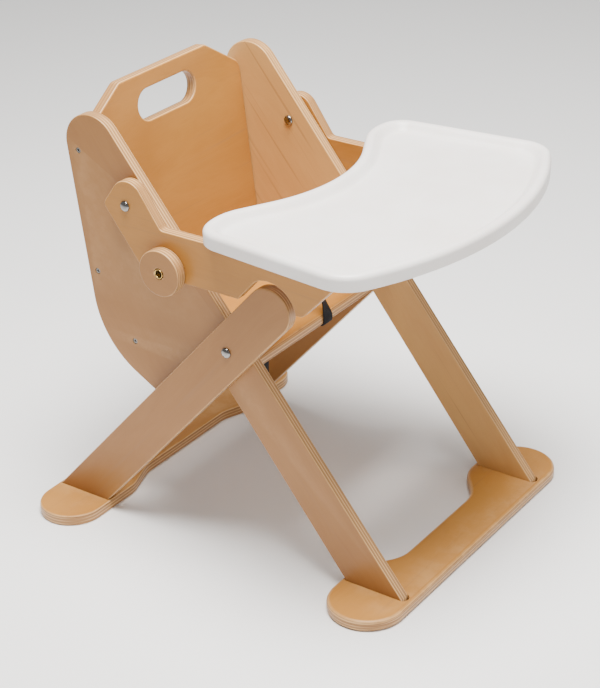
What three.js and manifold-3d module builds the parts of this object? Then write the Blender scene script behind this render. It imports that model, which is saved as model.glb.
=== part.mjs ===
// Folding baby high chair in birch plywood, with a moulded tray. Millimetres.
// X runs across the chair (+X is the seated child's left), the front is -Y and Z is up.
// Both side panels are one board each: the side of the seat and the front leg in one outline.
// The rear legs and the armrests share the layer just outside the side panels, and a notch in
// each armrest drops over the round top of the rear leg, which stops the legs from folding.
import * as THREE from 'three';
import { mergeVertices } from 'three/addons/utils/BufferGeometryUtils.js';
import Module from 'manifold-3d';

const wasm = await Module();
wasm.setup();

// ---- Driving dimensions ----
const ply = 15; // thickness of every plywood board
const clearance = 0.4; // left between pieces that touch
const pilotRun = 5; // how far a hole's cutter runs past the faces it opens through
const easedEdge = 1.2; // chamfer of the board edges
const chairWidth = 343.6; // over the outer faces of the side panels
const seatHeight = 262; // floor to the underside of the seat's front edge
const layerGap = 1.2; // between a side panel and the boards pivoted outside it
const tenonDepth = 10; // how deep each leg stands in its foot board

const panelOuter = chairWidth / 2;
const panelInner = panelOuter - ply;
const layerInner = panelOuter + layerGap;
const layerOuter = layerInner + ply;
const footTop = ply;

// Edge lines of the side panel: y at seat height, and how far y moves per mm of height.
const legFrontEdge = { y: -34.3, z: seatHeight, slope: 0.798 };
const legRearEdge = { y: 42.4, z: seatHeight, slope: 0.779 };
const panelRearEdge = { y: 223.9, z: seatHeight, slope: 0.132 };
const panelTopRadius = 39.5;
const panelBelly = { y: 98, z: seatHeight - 86, radius: 55 };
const panelHeel = { dz: -16, slope: 1.732, radius: 125 };
const panelCrotch = { dz: -12, radius: 15 };

const legPivot = { y: 9.3, z: seatHeight + 33 };
const rearLegWidth = 60.6;
const rearLegSlope = -0.893;
const rearLegReach = 96; // from the pivot to the centre of the rounded top

const armPivot = { y: 154.3, z: seatHeight + 192.3 };
const armTop = seatHeight + 172;
const armBottom = seatHeight + 110.3;
const armFront = -162;
const armRearEdge = { y: 185.1, z: armPivot.z - 9.7, slope: 0.754 };
const armHeadRear = { y: 165, z: armPivot.z + 30.7, slope: -0.7167 };
const armHeadFront = { y: 132.3, z: armPivot.z + 24.3, slope: 0.685 };
const armNose = { y: armFront, z: armTop, slope: -0.95 };
const armRadii = { rearFoot: 14, rearShoulder: 9, head: 24.5, hollow: 8, noseTop: 5, noseFoot: 9 };
const notchClearance = 9.2; // around the rear leg's round top
const notchSide = 6.2; // between the notch's straight side and the rear leg's upper edge
const notchFillet = 15; // where that side runs into the arc
const studSlotSweep = 0.42; // radians that the slot for the knob's stud runs back to the notch

const knobCentre = { y: 95.6, z: seatHeight + 122.6 };
const knobRadius = 30;
const insertRadius = 6.5;
const insertProud = 0.3; // beyond the face of the knob disc
const studRadius = 4;
const studLength = 38;
const studSeat = 2; // wood left behind the stud in the side panel
const studChamfer = 1;

const backLean = 6.33; // degrees from upright
const backFoot = { y: 205, z: seatHeight + 10 };
const backHeight = 295.3;
const backTopHalfWidth = 88;
const backShoulderDrop = 42.8;
const backRadii = { foot: 2, shoulder: 18, top: 14 };
const handHole = { halfLength: 58, halfHeight: 20.7, below: 43 };

const seatFront = { y: -10.5, z: seatHeight + ply / 2 };
const seatTilt = 2.97; // degrees, falling to the back
const seatRadii = { nose: 7, frontFoot: 2.5, rear: 1.5 };
const seatRearGap = 2;

const footEndOverhang = 67.4; // foot board beyond the outer face of its legs
const frontFoot = { front: 12, rear: 7, recess: 37 };
const rearFoot = { front: 3.4, rear: 3.4, recess: 17 };
const recessFlat = 88;
const recessRun = 47;
const recessRadius = 50;
const slotBulge = 5; // round end of the routed slot beyond the leg
const footEasing = 3;

const trayOverhang = 54; // beyond the armrest's outer face
const trayHeight = 20;
const trayLift = 12; // rim wall above the armrests' top edge
const trayWall = 3.5;
const trayRim = 16;
const trayRecess = 10;
const trayEasing = 4;
const trayBow = { apex: -323, radius: 437 }; // the long front edge, its corner before rounding
const trayFrontCorner = { y: -196, radius: 47 };
const trayRearCorner = { draw: 23, y: 25, radius: 38 }; // draw: how much narrower the tray is there
const trayTip = { x: 162, y: 32.6, radius: 30 };
const trayWaist = { apex: -53.3, radius: 219 };
const railFront = -132;
const railRear = -8;
const flangeDrop = 12;
const flangeThickness = 4;
const trayScrewDrop = 6; // below the armrest's top edge
const trayScrewInset = 24; // from each end of the rail

const boltHeadRadius = 6.8;
const boltHeadHeight = 3.6;
const boltRadius = 3;
const sleeveRadius = 4.5;
const sleeveLength = 11;
const sleeveFloor = 0.6; // metal left behind the thread
const boltGap = 2; // between the bolt's tip and the inner face of the side panel
const washerRadius = 9;
const screwHeadRadius = 3.6;
const screwRadius = 2.5;
const screwHeadHeight = 3;
const screwPoint = 4;
const screwLength = 42;
const screwRecess = 0.8;
const footScrewLength = 36;
const footScrewHead = 2;
const footPilotHeight = 38;
const trayScrewRadius = 2;
const trayScrewLength = 13;
const trayScrewHead = { radius: 4, height: 2.2 };

const backUpperScrewDrop = 62.1; // below the back panel's top
const backLowerScrewRise = 72.8; // above its foot
const seatScrews = { front: 34, rear: 166.7 }; // y

const webbingWidth = 20;
const webbingThickness = 2;
const strapRise = 78;
const strapLean = 18; // degrees back from upright
const strapBends = { under: 3, upright: 6 }; // radii
const strapUnder = 42; // how far the crotch strap runs back under the seat
const lapStrapDrop = 26;
const lapStrapInset = 22.4; // from the side panel's inner face
const lapStrapBack = 3.5; // behind the seat's front edge

// ---- Materials ----
function material(name, color, roughness, metalness) {
  const made = new THREE.MeshStandardMaterial({ color, roughness, metalness });
  made.name = name;
  return made;
}
const birch = material('birch_plywood', 0xd9b384, 0.42, 0);
const whitePlastic = material('white_plastic', 0xf0ece8, 0.35, 0);
const chrome = material('chrome', 0xc8cacc, 0.15, 1);
const zinc = material('zinc_steel', 0xa9adb0, 0.35, 1);
const brass = material('brass', 0xc7a04a, 0.3, 1);
const webbing = material('black_webbing', 0x17171a, 0.8, 0);

// ---- Solids ----
function stripped(geometry) {
  const bare = geometry.clone();
  bare.deleteAttribute('normal');
  bare.deleteAttribute('uv');
  return bare;
}

function toSolid(geometry) {
  const merged = mergeVertices(stripped(geometry), 1e-3);
  const vertProperties = new Float32Array(merged.attributes.position.array);
  const triVerts = new Uint32Array(merged.index.array);
  return new wasm.Manifold(new wasm.Mesh({ numProp: 3, vertProperties, triVerts }));
}

function toGeometry(solid) {
  const mesh = solid.getMesh();
  const geometry = new THREE.BufferGeometry();
  geometry.setAttribute('position', new THREE.BufferAttribute(new Float32Array(mesh.vertProperties), 3));
  geometry.setIndex(new THREE.BufferAttribute(new Uint32Array(mesh.triVerts), 1));
  return geometry;
}

function cut(geometry, tools) {
  return toGeometry(tools.reduce((solid, tool) => solid.subtract(toSolid(tool)), toSolid(geometry)));
}

function mirrorX(geometry) {
  const solid = mergeVertices(stripped(geometry), 1e-4);
  solid.scale(-1, 1, 1);
  const index = solid.index.array;
  for (let i = 0; i < index.length; i += 3) {
    [index[i], index[i + 1]] = [index[i + 1], index[i]];
  }
  return solid;
}

// ---- Outlines ----
const arcStep = THREE.MathUtils.degToRad(12);
const shortestEdge = 0.05;

function yOn(edge, z) {
  return edge.y + edge.slope * (z - edge.z);
}

function crossing(a, b) {
  const z = (b.y - a.y + a.slope * a.z - b.slope * b.z) / (a.slope - b.slope);
  return [yOn(a, z), z];
}

// A closed outline through corners [u, v, radius], with each corner rounded by its own radius.
function roundedPoints(corners) {
  const points = [];
  corners.forEach(([u, v, radius = 0], i) => {
    const here = new THREE.Vector2(u, v);
    const before = corners[(i + corners.length - 1) % corners.length];
    const after = corners[(i + 1) % corners.length];
    const toBefore = new THREE.Vector2(before[0], before[1]).sub(here).normalize();
    const toAfter = new THREE.Vector2(after[0], after[1]).sub(here).normalize();
    if (radius === 0) {
      points.push(here);
      return;
    }
    const half = Math.acos(THREE.MathUtils.clamp(toBefore.dot(toAfter), -1, 1)) / 2;
    const reach = radius / Math.tan(half);
    const middle = toBefore.clone().add(toAfter).normalize();
    const centre = middle.multiplyScalar(radius / Math.sin(half)).add(here);
    const start = toBefore.multiplyScalar(reach).add(here).sub(centre);
    const end = toAfter.multiplyScalar(reach).add(here).sub(centre);
    const sweep = Math.atan2(start.cross(end), start.dot(end));
    const steps = Math.max(1, Math.ceil(Math.abs(sweep) / arcStep));
    for (let k = 0; k <= steps; k += 1) {
      points.push(start.clone().rotateAround(new THREE.Vector2(), (sweep * k) / steps).add(centre));
    }
  });
  return withoutRepeats(points);
}

function withoutRepeats(points) {
  return points.filter((point, i) => point.distanceTo(points[(i + 1) % points.length]) > shortestEdge);
}

function arcPoints(y, z, radius, from, to, steps) {
  return Array.from({ length: steps + 1 }, (_, k) => {
    const angle = from + ((to - from) * k) / steps;
    return new THREE.Vector2(y + radius * Math.cos(angle), z + radius * Math.sin(angle));
  });
}

// A board: the outline extruded by its thickness, with its edges eased.
function board(points, thickness, eased = easedEdge) {
  const geometry = new THREE.ExtrudeGeometry(new THREE.Shape(points), {
    depth: thickness - 2 * eased,
    bevelEnabled: eased > 0,
    bevelSegments: 1,
    bevelSize: eased,
    bevelThickness: eased,
    bevelOffset: -eased,
  });
  return geometry.translate(0, 0, eased);
}

// Turns an outline drawn in (y, z) and extruded along its third axis so that it stands across X.
function standing(geometry, x) {
  const upright = new THREE.Matrix4().makeBasis(
    new THREE.Vector3(0, 1, 0), new THREE.Vector3(0, 0, 1), new THREE.Vector3(1, 0, 0));
  return geometry.applyMatrix4(upright).translate(x, 0, 0);
}

function rodX(radius, from, to, y, z, sides = 16) {
  const rod = new THREE.CylinderGeometry(radius, radius, to - from, sides);
  return rod.rotateZ(Math.PI / 2).translate((from + to) / 2, y, z);
}

function rodZ(radius, from, to, x, y, sides = 12) {
  const rod = new THREE.CylinderGeometry(radius, radius, to - from, sides);
  return rod.rotateX(Math.PI / 2).translate(x, y, (from + to) / 2);
}

// A turned piece with its axis along X, from a closed profile of [distance along X, radius].
function turnedX(profile, x, y, z, sides = 20) {
  const points = profile.map(([along, radius]) => new THREE.Vector2(radius, along));
  return new THREE.LatheGeometry(points, sides).rotateZ(-Math.PI / 2).translate(x, y, z);
}

function turnedZ(profile, x, y, z, sides = 12) {
  const points = profile.map(([along, radius]) => new THREE.Vector2(radius, along));
  return new THREE.LatheGeometry(points, sides).rotateX(Math.PI / 2).translate(x, y, z);
}

// ---- Places worked out from the driving dimensions ----
const backTilt = THREE.MathUtils.degToRad(backLean);
const backScrews = { // heights
  upper: backFoot.z + backHeight * Math.cos(backTilt) - backUpperScrewDrop,
  lower: backFoot.z + backLowerScrewRise,
};
const seatAngle = THREE.MathUtils.degToRad(seatTilt);
const rearLegAngle = Math.atan2(1, rearLegSlope);
const rearLegRun = rearLegWidth / 2 / Math.sin(rearLegAngle);

function backMiddle(z) {
  return backFoot.y + (z - backFoot.z) * Math.tan(backTilt) + ply / 2 / Math.cos(backTilt);
}

function seatMiddle(y) {
  return seatFront.z - (y - seatFront.y) * Math.tan(seatAngle);
}

const rearLegTop = {
  y: legPivot.y + rearLegReach * Math.cos(rearLegAngle),
  z: legPivot.z + rearLegReach * Math.sin(rearLegAngle),
};
const rearFootCentre = legPivot.y + (footTop - legPivot.z) * rearLegSlope;
const frontFootSpan = [yOn(legFrontEdge, footTop), yOn(legRearEdge, footTop)];
const rearFootSpan = [rearFootCentre - rearLegRun, rearFootCentre + rearLegRun];

const sideScrews = [
  { name: 'back_upper', y: backMiddle(backScrews.upper), z: backScrews.upper },
  { name: 'back_lower', y: backMiddle(backScrews.lower), z: backScrews.lower },
  { name: 'seat_rear', y: seatScrews.rear, z: seatMiddle(seatScrews.rear) },
  { name: 'seat_front', y: seatScrews.front, z: seatMiddle(seatScrews.front) },
];

function footScrewPlaces(span) {
  const inset = (span[1] - span[0]) / 4;
  return [span[0] + inset, span[1] - inset];
}

const trayScrewPlaces = [railFront + trayScrewInset, railRear - trayScrewInset];
const trayScrewZ = armTop - trayScrewDrop;

// ---- Wooden pieces ----
function sideScrewHoles() {
  const mouth = panelOuter - screwRecess - screwHeadHeight - clearance;
  return sideScrews.flatMap(({ y, z }) => [
    rodX(screwRadius + clearance, panelInner - pilotRun, panelOuter + pilotRun, y, z, 12),
    rodX(screwHeadRadius + clearance, mouth, panelOuter + pilotRun, y, z, 12),
  ]);
}

function sidePanelGeometry() {
  const tenonFoot = footTop - tenonDepth + clearance;
  const heel = { y: yOn(panelRearEdge, seatHeight + panelHeel.dz), z: seatHeight + panelHeel.dz };
  const crotchZ = seatHeight + panelCrotch.dz;
  const corners = [
    [frontFootSpan[0], tenonFoot],
    [frontFootSpan[1], tenonFoot],
    [frontFootSpan[1], footTop],
    [yOn(legRearEdge, crotchZ), crotchZ, panelCrotch.radius],
    [panelBelly.y, panelBelly.z, panelBelly.radius],
    [heel.y, heel.z, panelHeel.radius],
    [...crossing(legFrontEdge, panelRearEdge), panelTopRadius],
    [frontFootSpan[0], footTop],
  ];
  const panel = standing(board(roundedPoints(corners), ply), panelInner);
  const bores = [armPivot, legPivot].map(({ y, z }) =>
    rodX(sleeveRadius + clearance, panelInner - pilotRun, panelOuter + pilotRun, y, z));
  const studHole = rodX(studRadius + clearance, panelInner + studSeat, panelOuter + pilotRun,
    knobCentre.y, knobCentre.z);
  const pilots = footScrewPlaces(frontFootSpan).map((y) =>
    rodZ(screwRadius + clearance, 0, footPilotHeight, (panelInner + panelOuter) / 2, y));
  return cut(panel, [...sideScrewHoles(), ...bores, studHole, ...pilots]);
}

function rearLegGeometry() {
  const tenonFoot = footTop - tenonDepth + clearance;
  const half = rearLegWidth / 2;
  const top = arcPoints(rearLegTop.y, rearLegTop.z, half,
    rearLegAngle - Math.PI / 2, rearLegAngle + Math.PI / 2, 15);
  const outline = [
    new THREE.Vector2(rearFootSpan[0], footTop),
    new THREE.Vector2(rearFootSpan[0], tenonFoot),
    new THREE.Vector2(rearFootSpan[1], tenonFoot),
    new THREE.Vector2(rearFootSpan[1], footTop),
    ...top,
  ];
  const leg = standing(board(outline, ply), layerInner);
  const pilots = footScrewPlaces(rearFootSpan).map((y) =>
    rodZ(screwRadius + clearance, 0, footPilotHeight, (layerInner + layerOuter) / 2, y));
  return cut(leg, [boltBore(legPivot), ...pilots]);
}

// The hole for a pivot bolt through a rear leg or an armrest.
function boltBore({ y, z }) {
  return rodX(boltRadius + clearance, layerInner - pilotRun, layerOuter + pilotRun, y, z);
}

function armrestGeometry() {
  const corners = [
    [yOn(armRearEdge, armBottom), armBottom, armRadii.rearFoot],
    [...crossing(armRearEdge, armHeadRear), armRadii.rearShoulder],
    [...crossing(armHeadRear, armHeadFront), armRadii.head],
    [yOn(armHeadFront, armTop), armTop, armRadii.hollow],
    [armFront, armTop, armRadii.noseTop],
    [yOn(armNose, armBottom), armBottom, armRadii.noseFoot],
  ];
  const armrest = board(roundedPoints(corners), ply);
  const shaped = standing(cut(armrest, [legNotchGeometry(), studSlotGeometry()]), layerInner);
  const pilotRadius = trayScrewRadius + clearance;
  const pilots = trayScrewPlaces.map((y) =>
    rodX(pilotRadius, layerInner - pilotRun, layerInner + trayScrewLength, y, trayScrewZ, 12));
  return cut(shaped, [boltBore(armPivot), ...pilots]);
}

// The notch over the rear leg's round top, drawn along the leg and turned to its slope.
function legNotchGeometry() {
  const radius = rearLegWidth / 2 + notchClearance;
  const side = -rearLegWidth / 2 - notchSide;
  const mouth = -2 * radius;
  const meets = Math.asin(side / radius);
  const arc = arcPoints(0, 0, radius, meets, Math.PI / 2, 14);
  const corners = [
    [mouth, side],
    [arc[0].x, arc[0].y, notchFillet],
    ...arc.slice(2).map(({ x, y }) => [x, y]),
    [mouth, radius],
  ];
  const notch = new THREE.ExtrudeGeometry(new THREE.Shape(roundedPoints(corners)),
    { depth: ply + 2, bevelEnabled: false });
  return notch.rotateZ(rearLegAngle).translate(rearLegTop.y, rearLegTop.z, -1);
}

// The open slot that lets the armrest swing up off the stud: an arc about the arm pivot.
function studSlotGeometry() {
  const dy = knobCentre.y - armPivot.y;
  const dz = knobCentre.z - armPivot.z;
  const swing = Math.hypot(dy, dz);
  const from = Math.atan2(dz, dy);
  const width = studRadius + clearance;
  const away = from + studSlotSweep;
  const points = [
    ...arcPoints(knobCentre.y, knobCentre.z, width, from - Math.PI, from, 8).reverse(),
    ...arcPoints(armPivot.y, armPivot.z, swing - width, from, away, 5),
    ...arcPoints(armPivot.y, armPivot.z, swing + width, away, from, 5),
  ];
  const shape = new THREE.Shape(withoutRepeats(points));
  return new THREE.ExtrudeGeometry(shape, { depth: ply + 2, bevelEnabled: false }).translate(0, 0, -1);
}

function knobDiscGeometry() {
  const from = layerOuter + clearance;
  const disc = turnedX([
    [0, 0],
    [0, knobRadius - easedEdge],
    [easedEdge, knobRadius],
    [ply - easedEdge, knobRadius],
    [ply, knobRadius - easedEdge],
    [ply, 0],
  ], from, knobCentre.y, knobCentre.z, 36);
  const { y, z } = knobCentre;
  return cut(disc, [rodX(insertRadius + clearance, from - pilotRun, from + ply + pilotRun, y, z, 20)]);
}

function knobInsertGeometry() {
  return turnedX([
    [clearance, studRadius + clearance],
    [clearance, insertRadius],
    [ply + insertProud, insertRadius],
    [ply + insertProud, studRadius + clearance],
    [clearance, studRadius + clearance],
  ], layerOuter + clearance, knobCentre.y, knobCentre.z, 20);
}

function studGeometry() {
  const from = panelInner + studSeat + clearance;
  return turnedX([[0, 0], [0, studRadius], [studLength - studChamfer, studRadius],
    [studLength, studRadius - studChamfer], [studLength, 0]], from, knobCentre.y, knobCentre.z, 16);
}

function backPanelGeometry() {
  const half = panelInner - clearance;
  const shoulder = backHeight - backShoulderDrop;
  const corners = [
    [-half, 0, backRadii.foot],
    [half, 0, backRadii.foot],
    [half, shoulder, backRadii.shoulder],
    [backTopHalfWidth, backHeight, backRadii.top],
    [-backTopHalfWidth, backHeight, backRadii.top],
    [-half, shoulder, backRadii.shoulder],
  ];
  const hole = board(handHolePoints(), ply + 4, 0).translate(0, 0, -2);
  const panel = cut(board(roundedPoints(corners), ply), [hole]);
  panel.rotateX(Math.PI / 2).translate(0, ply, 0);
  panel.rotateX(-backTilt).translate(0, backFoot.y, backFoot.z);
  return cut(panel, sidePilots(sideScrews.slice(0, 2)));
}

// Holes for the side screws in the end of a board between the panels, at both ends.
function sidePilots(places) {
  const depth = screwLength + screwRecess - ply + 1;
  return places.flatMap(({ y, z }) => [-1, 1].map((side) =>
    rodX(screwRadius + clearance, -depth, depth, y, z, 12).translate(side * panelInner, 0, 0)));
}

function handHolePoints() {
  const { halfLength, halfHeight, below } = handHole;
  const middle = backHeight - below;
  return roundedPoints([
    [-halfLength, middle - halfHeight, halfHeight],
    [halfLength, middle - halfHeight, halfHeight],
    [halfLength, middle + halfHeight, halfHeight],
    [-halfLength, middle + halfHeight, halfHeight],
  ]);
}

function seatGeometry() {
  const half = panelInner - clearance;
  const length = (backFoot.y - seatFront.y) / Math.cos(seatAngle) - seatRearGap;
  const corners = [
    [0, -ply / 2, seatRadii.frontFoot],
    [length, -ply / 2, seatRadii.rear],
    [length, ply / 2, seatRadii.rear],
    [0, ply / 2, seatRadii.nose],
  ];
  const seat = standing(board(roundedPoints(corners), 2 * half, 0), -half);
  seat.rotateX(-seatAngle).translate(0, seatFront.y, seatFront.z);
  return cut(seat, sidePilots(sideScrews.slice(2)));
}

// A foot board: round ends, a straight outer edge and a recess in its inner edge.
function footBoardGeometry(span, margins, inward, legX) {
  const outer = inward > 0 ? span[0] - margins.front : span[1] + margins.rear;
  const inner = inward > 0 ? span[1] + margins.rear : span[0] - margins.front;
  const endRadius = Math.abs(outer - inner) / 2;
  const halfLength = legX[1] + footEndOverhang;
  const recess = inner - inward * margins.recess;
  const corners = [
    [-halfLength, outer, endRadius],
    [halfLength, outer, endRadius],
    [halfLength, inner, endRadius],
    [recessFlat + recessRun, inner, recessRadius],
    [recessFlat, recess, recessRadius],
    [-recessFlat, recess, recessRadius],
    [-recessFlat - recessRun, inner, recessRadius],
    [-halfLength, inner, endRadius],
  ];
  const outline = roundedPoints(inward > 0 ? corners : corners.reverse());
  const slots = [-1, 1].map((side) => legSlotGeometry(span, legX, side));
  const holes = footScrewPlaces(span).flatMap((y) => [-1, 1].flatMap((side) => {
    const x = (side * (legX[0] + legX[1])) / 2;
    return [
      rodZ(screwRadius + clearance, -pilotRun, footTop, x, y),
      rodZ(screwHeadRadius + clearance, -pilotRun, screwRecess + footScrewHead + clearance, x, y),
    ];
  }));
  return cut(board(outline, ply, footEasing), [...slots, ...holes]);
}

function legSlotGeometry(span, legX, side) {
  const half = (legX[1] - legX[0]) / 2 + clearance;
  const middle = (side * (legX[0] + legX[1])) / 2;
  const bulgeRadius = (half * half + slotBulge * slotBulge) / (2 * slotBulge);
  const open = Math.asin(half / bulgeRadius);
  const front = span[0] - clearance;
  const rear = span[1] + clearance;
  const down = -Math.PI / 2;
  const up = Math.PI / 2;
  const points = [
    ...arcPoints(middle, front - slotBulge + bulgeRadius, bulgeRadius, down - open, down + open, 6),
    ...arcPoints(middle, rear + slotBulge - bulgeRadius, bulgeRadius, up - open, up + open, 6),
  ];
  return board(points, ply, 0).translate(0, 0, footTop - tenonDepth);
}

// ---- Tray ----
function trayCorners() {
  const side = layerOuter + trayOverhang;
  const right = [
    [side, trayFrontCorner.y, trayFrontCorner.radius],
    [side - trayRearCorner.draw, trayRearCorner.y, trayRearCorner.radius],
    [trayTip.x, trayTip.y, trayTip.radius],
  ];
  const left = right.map(([x, y, radius]) => [-x, y, radius]).reverse();
  return [[0, trayBow.apex, trayBow.radius], ...right, [0, trayWaist.apex, trayWaist.radius], ...left];
}

// The tray's outline with every edge moved inwards and its roundings kept parallel.
function trayOutline(inset) {
  const corners = trayCorners();
  const count = corners.length;
  const edges = corners.map(([u, v], i) => {
    const next = corners[(i + 1) % count];
    const along = new THREE.Vector2(next[0] - u, next[1] - v).normalize();
    const inward = new THREE.Vector2(-along.y, along.x);
    return { along, from: new THREE.Vector2(u, v).addScaledVector(inward, inset) };
  });
  return roundedPoints(edges.map((edge, i) => {
    const before = edges[(i + count - 1) % count];
    const turn = before.along.cross(edge.along);
    const reach = edge.from.clone().sub(before.from).cross(edge.along) / turn;
    const corner = before.from.clone().addScaledVector(before.along, reach);
    return [corner.x, corner.y, corners[i][2] - Math.sign(turn) * inset];
  }));
}

function trayGeometry() {
  const rimTop = armTop + trayLift + trayHeight;
  const floorTop = rimTop - trayRecess;
  const body = board(trayOutline(0), trayHeight, trayEasing)
    .translate(0, 0, rimTop - trayHeight);
  const recess = board(trayOutline(trayRim), trayRecess + 2 * trayEasing, trayEasing)
    .translate(0, 0, floorTop);
  const underside = board(trayOutline(trayWall), trayHeight, 0)
    .translate(0, 0, floorTop - trayWall - trayHeight);
  const rails = [-1, 1].flatMap((side) => railBlocks(side, floorTop - trayWall / 2));
  const shell = toSolid(body).subtract(toSolid(recess)).subtract(toSolid(underside));
  const whole = rails.map(toSolid).reduce((sum, rail) => sum.add(rail), shell);
  const holes = [-1, 1].flatMap((side) => trayScrewPlaces.map((y) =>
    rodX(trayScrewRadius + clearance, -2 * flangeThickness, 2 * flangeThickness, y, trayScrewZ, 12)
      .translate(side * (layerInner - flangeThickness / 2), 0, 0)));
  return cut(toGeometry(whole), holes);
}

// The moulded rail that sits on one armrest, and the flange screwed to its inner face.
function railBlocks(side, top) {
  const length = railRear - railFront;
  const middleY = (railRear + railFront) / 2;
  const railBottom = armTop + clearance;
  const rail = new THREE.BoxGeometry(ply + 2 * flangeThickness, length, top - railBottom);
  rail.translate(side * (layerInner + layerOuter) / 2, middleY, (top + railBottom) / 2);
  const flange = new THREE.BoxGeometry(flangeThickness, length, flangeDrop + top - railBottom);
  const flangeX = side * (layerInner - clearance - flangeThickness / 2);
  flange.translate(flangeX, middleY, (top + railBottom - flangeDrop) / 2);
  return [rail, flange];
}

// ---- Fasteners ----
function domeProfile(radius, height) {
  return [[0, radius], [height * 0.35, radius * 0.94], [height * 0.7, radius * 0.7],
    [height * 0.95, radius * 0.32], [height, 0]];
}

function pivotBoltGeometry({ y, z }) {
  const reach = layerOuter - panelInner - boltGap;
  return turnedX([[-reach, 0], [-reach, boltRadius], [0, boltRadius],
    ...domeProfile(boltHeadRadius, boltHeadHeight)], layerOuter + clearance, y, z, 20);
}

function sleeveNutGeometry({ y, z }) {
  const bore = boltRadius + clearance;
  const flat = panelInner - clearance;
  const dome = domeProfile(boltHeadRadius, boltHeadHeight);
  const head = dome.map(([along, radius]) => [-along, radius]).reverse();
  return turnedX([...head, [0, sleeveRadius], [sleeveLength, sleeveRadius], [sleeveLength, bore],
    [sleeveFloor, bore], [sleeveFloor, 0]], flat, y, z, 20);
}

function washerGeometry({ y, z }) {
  const inner = boltRadius + clearance;
  const thickness = layerGap - 2 * clearance;
  return turnedX([[0, inner], [0, washerRadius], [thickness, washerRadius], [thickness, inner], [0, inner]],
    panelOuter + clearance, y, z, 20);
}

function sideScrewGeometry({ y, z }) {
  const profile = [
    [-screwLength, 0],
    [-screwLength + screwPoint, screwRadius],
    [-screwHeadHeight, screwRadius],
    [-screwHeadHeight, screwHeadRadius],
    [0, screwHeadRadius],
    [0, 0],
  ];
  return turnedX(profile, panelOuter - screwRecess, y, z, 12);
}

function footScrewGeometry(x, y) {
  const profile = [
    [0, 0],
    [0, screwHeadRadius],
    [footScrewHead, screwHeadRadius],
    [footScrewHead, screwRadius],
    [footScrewLength - screwPoint, screwRadius],
    [footScrewLength, 0],
  ];
  return turnedZ(profile, x, y, screwRecess);
}

function trayScrewGeometry(y) {
  const { radius, height } = trayScrewHead;
  const head = domeProfile(radius, height).map(([along, r]) => [-along, r]).reverse();
  const profile = [
    ...head,
    [0, trayScrewRadius],
    [trayScrewLength - trayScrewRadius, trayScrewRadius],
    [trayScrewLength, 0],
  ];
  return turnedX(profile, layerInner - 2 * clearance - flangeThickness, y, trayScrewZ, 12);
}

// ---- Webbing ----
function crotchStrapGeometry() {
  const lean = THREE.MathUtils.degToRad(strapLean);
  const under = seatFront.z - ply / 2 - clearance - webbingThickness;
  const nose = seatFront.y - clearance - webbingThickness;
  const underFall = strapUnder * Math.tan(seatAngle);
  const upright = seatFront.z + ply / 2 - seatRadii.nose / 2;
  const tip = { y: nose + strapRise * Math.sin(lean), z: upright + strapRise * Math.cos(lean) };
  const side = { y: webbingThickness * Math.cos(lean), z: -webbingThickness * Math.sin(lean) };
  const corners = [
    [nose + strapUnder, under - underFall],
    [nose + strapUnder, under - underFall + webbingThickness],
    [nose + webbingThickness, under + webbingThickness, strapBends.under - webbingThickness],
    [nose + webbingThickness, upright + side.z / 2, strapBends.upright],
    [tip.y + side.y, tip.z + side.z],
    [tip.y, tip.z],
    [nose, upright, strapBends.upright + webbingThickness],
    [nose, under, strapBends.under],
  ];
  return standing(board(roundedPoints(corners), webbingWidth, 0), -webbingWidth / 2);
}

function lapStrapGeometry() {
  const y = seatFront.y + lapStrapBack;
  const top = seatMiddle(y) - ply / 2 - 2 * clearance;
  const strap = new THREE.BoxGeometry(webbingWidth, webbingThickness, lapStrapDrop);
  return strap.translate(lapStrapInset - panelInner, y, top - lapStrapDrop / 2);
}

// ---- Assembly ----
const group = new THREE.Group();

function addPiece(name, geometry, madeOf) {
  const mesh = new THREE.Mesh(geometry, madeOf.clone());
  mesh.name = name;
  group.add(mesh);
}

function addPair(name, geometry, madeOf) {
  addPiece(`${name}_left`, geometry, madeOf);
  addPiece(`${name}_right`, mirrorX(geometry), madeOf);
}

addPair('side_panel', sidePanelGeometry(), birch);
addPiece('back_panel', backPanelGeometry(), birch);
addPiece('seat_board', seatGeometry(), birch);
addPiece('front_foot_board', footBoardGeometry(frontFootSpan, frontFoot, 1, [panelInner, panelOuter]), birch);
addPiece('rear_foot_board', footBoardGeometry(rearFootSpan, rearFoot, -1, [layerInner, layerOuter]), birch);
addPair('rear_leg', rearLegGeometry(), birch);
addPair('armrest', armrestGeometry(), birch);
addPiece('tray', trayGeometry(), whitePlastic);
addPair('knob_disc', knobDiscGeometry(), birch);
addPair('knob_insert', knobInsertGeometry(), brass);
addPair('knob_stud', studGeometry(), zinc);
addPair('arm_pivot_bolt', pivotBoltGeometry(armPivot), chrome);
addPair('arm_sleeve_nut', sleeveNutGeometry(armPivot), chrome);
addPair('arm_washer', washerGeometry(armPivot), zinc);
addPair('leg_pivot_bolt', pivotBoltGeometry(legPivot), chrome);
addPair('leg_sleeve_nut', sleeveNutGeometry(legPivot), chrome);
addPair('leg_washer', washerGeometry(legPivot), zinc);
sideScrews.forEach((place) => addPair(`${place.name}_screw`, sideScrewGeometry(place), zinc));
footScrewPlaces(frontFootSpan).forEach((y, i) =>
  addPair(`front_foot_screw_${i + 1}`, footScrewGeometry((panelInner + panelOuter) / 2, y), zinc));
footScrewPlaces(rearFootSpan).forEach((y, i) =>
  addPair(`rear_foot_screw_${i + 1}`, footScrewGeometry((layerInner + layerOuter) / 2, y), zinc));
trayScrewPlaces.forEach((y, i) => addPair(`tray_screw_${i + 1}`, trayScrewGeometry(y), zinc));
addPiece('crotch_strap', crotchStrapGeometry(), webbing);
addPiece('lap_strap', lapStrapGeometry(), webbing);

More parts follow.
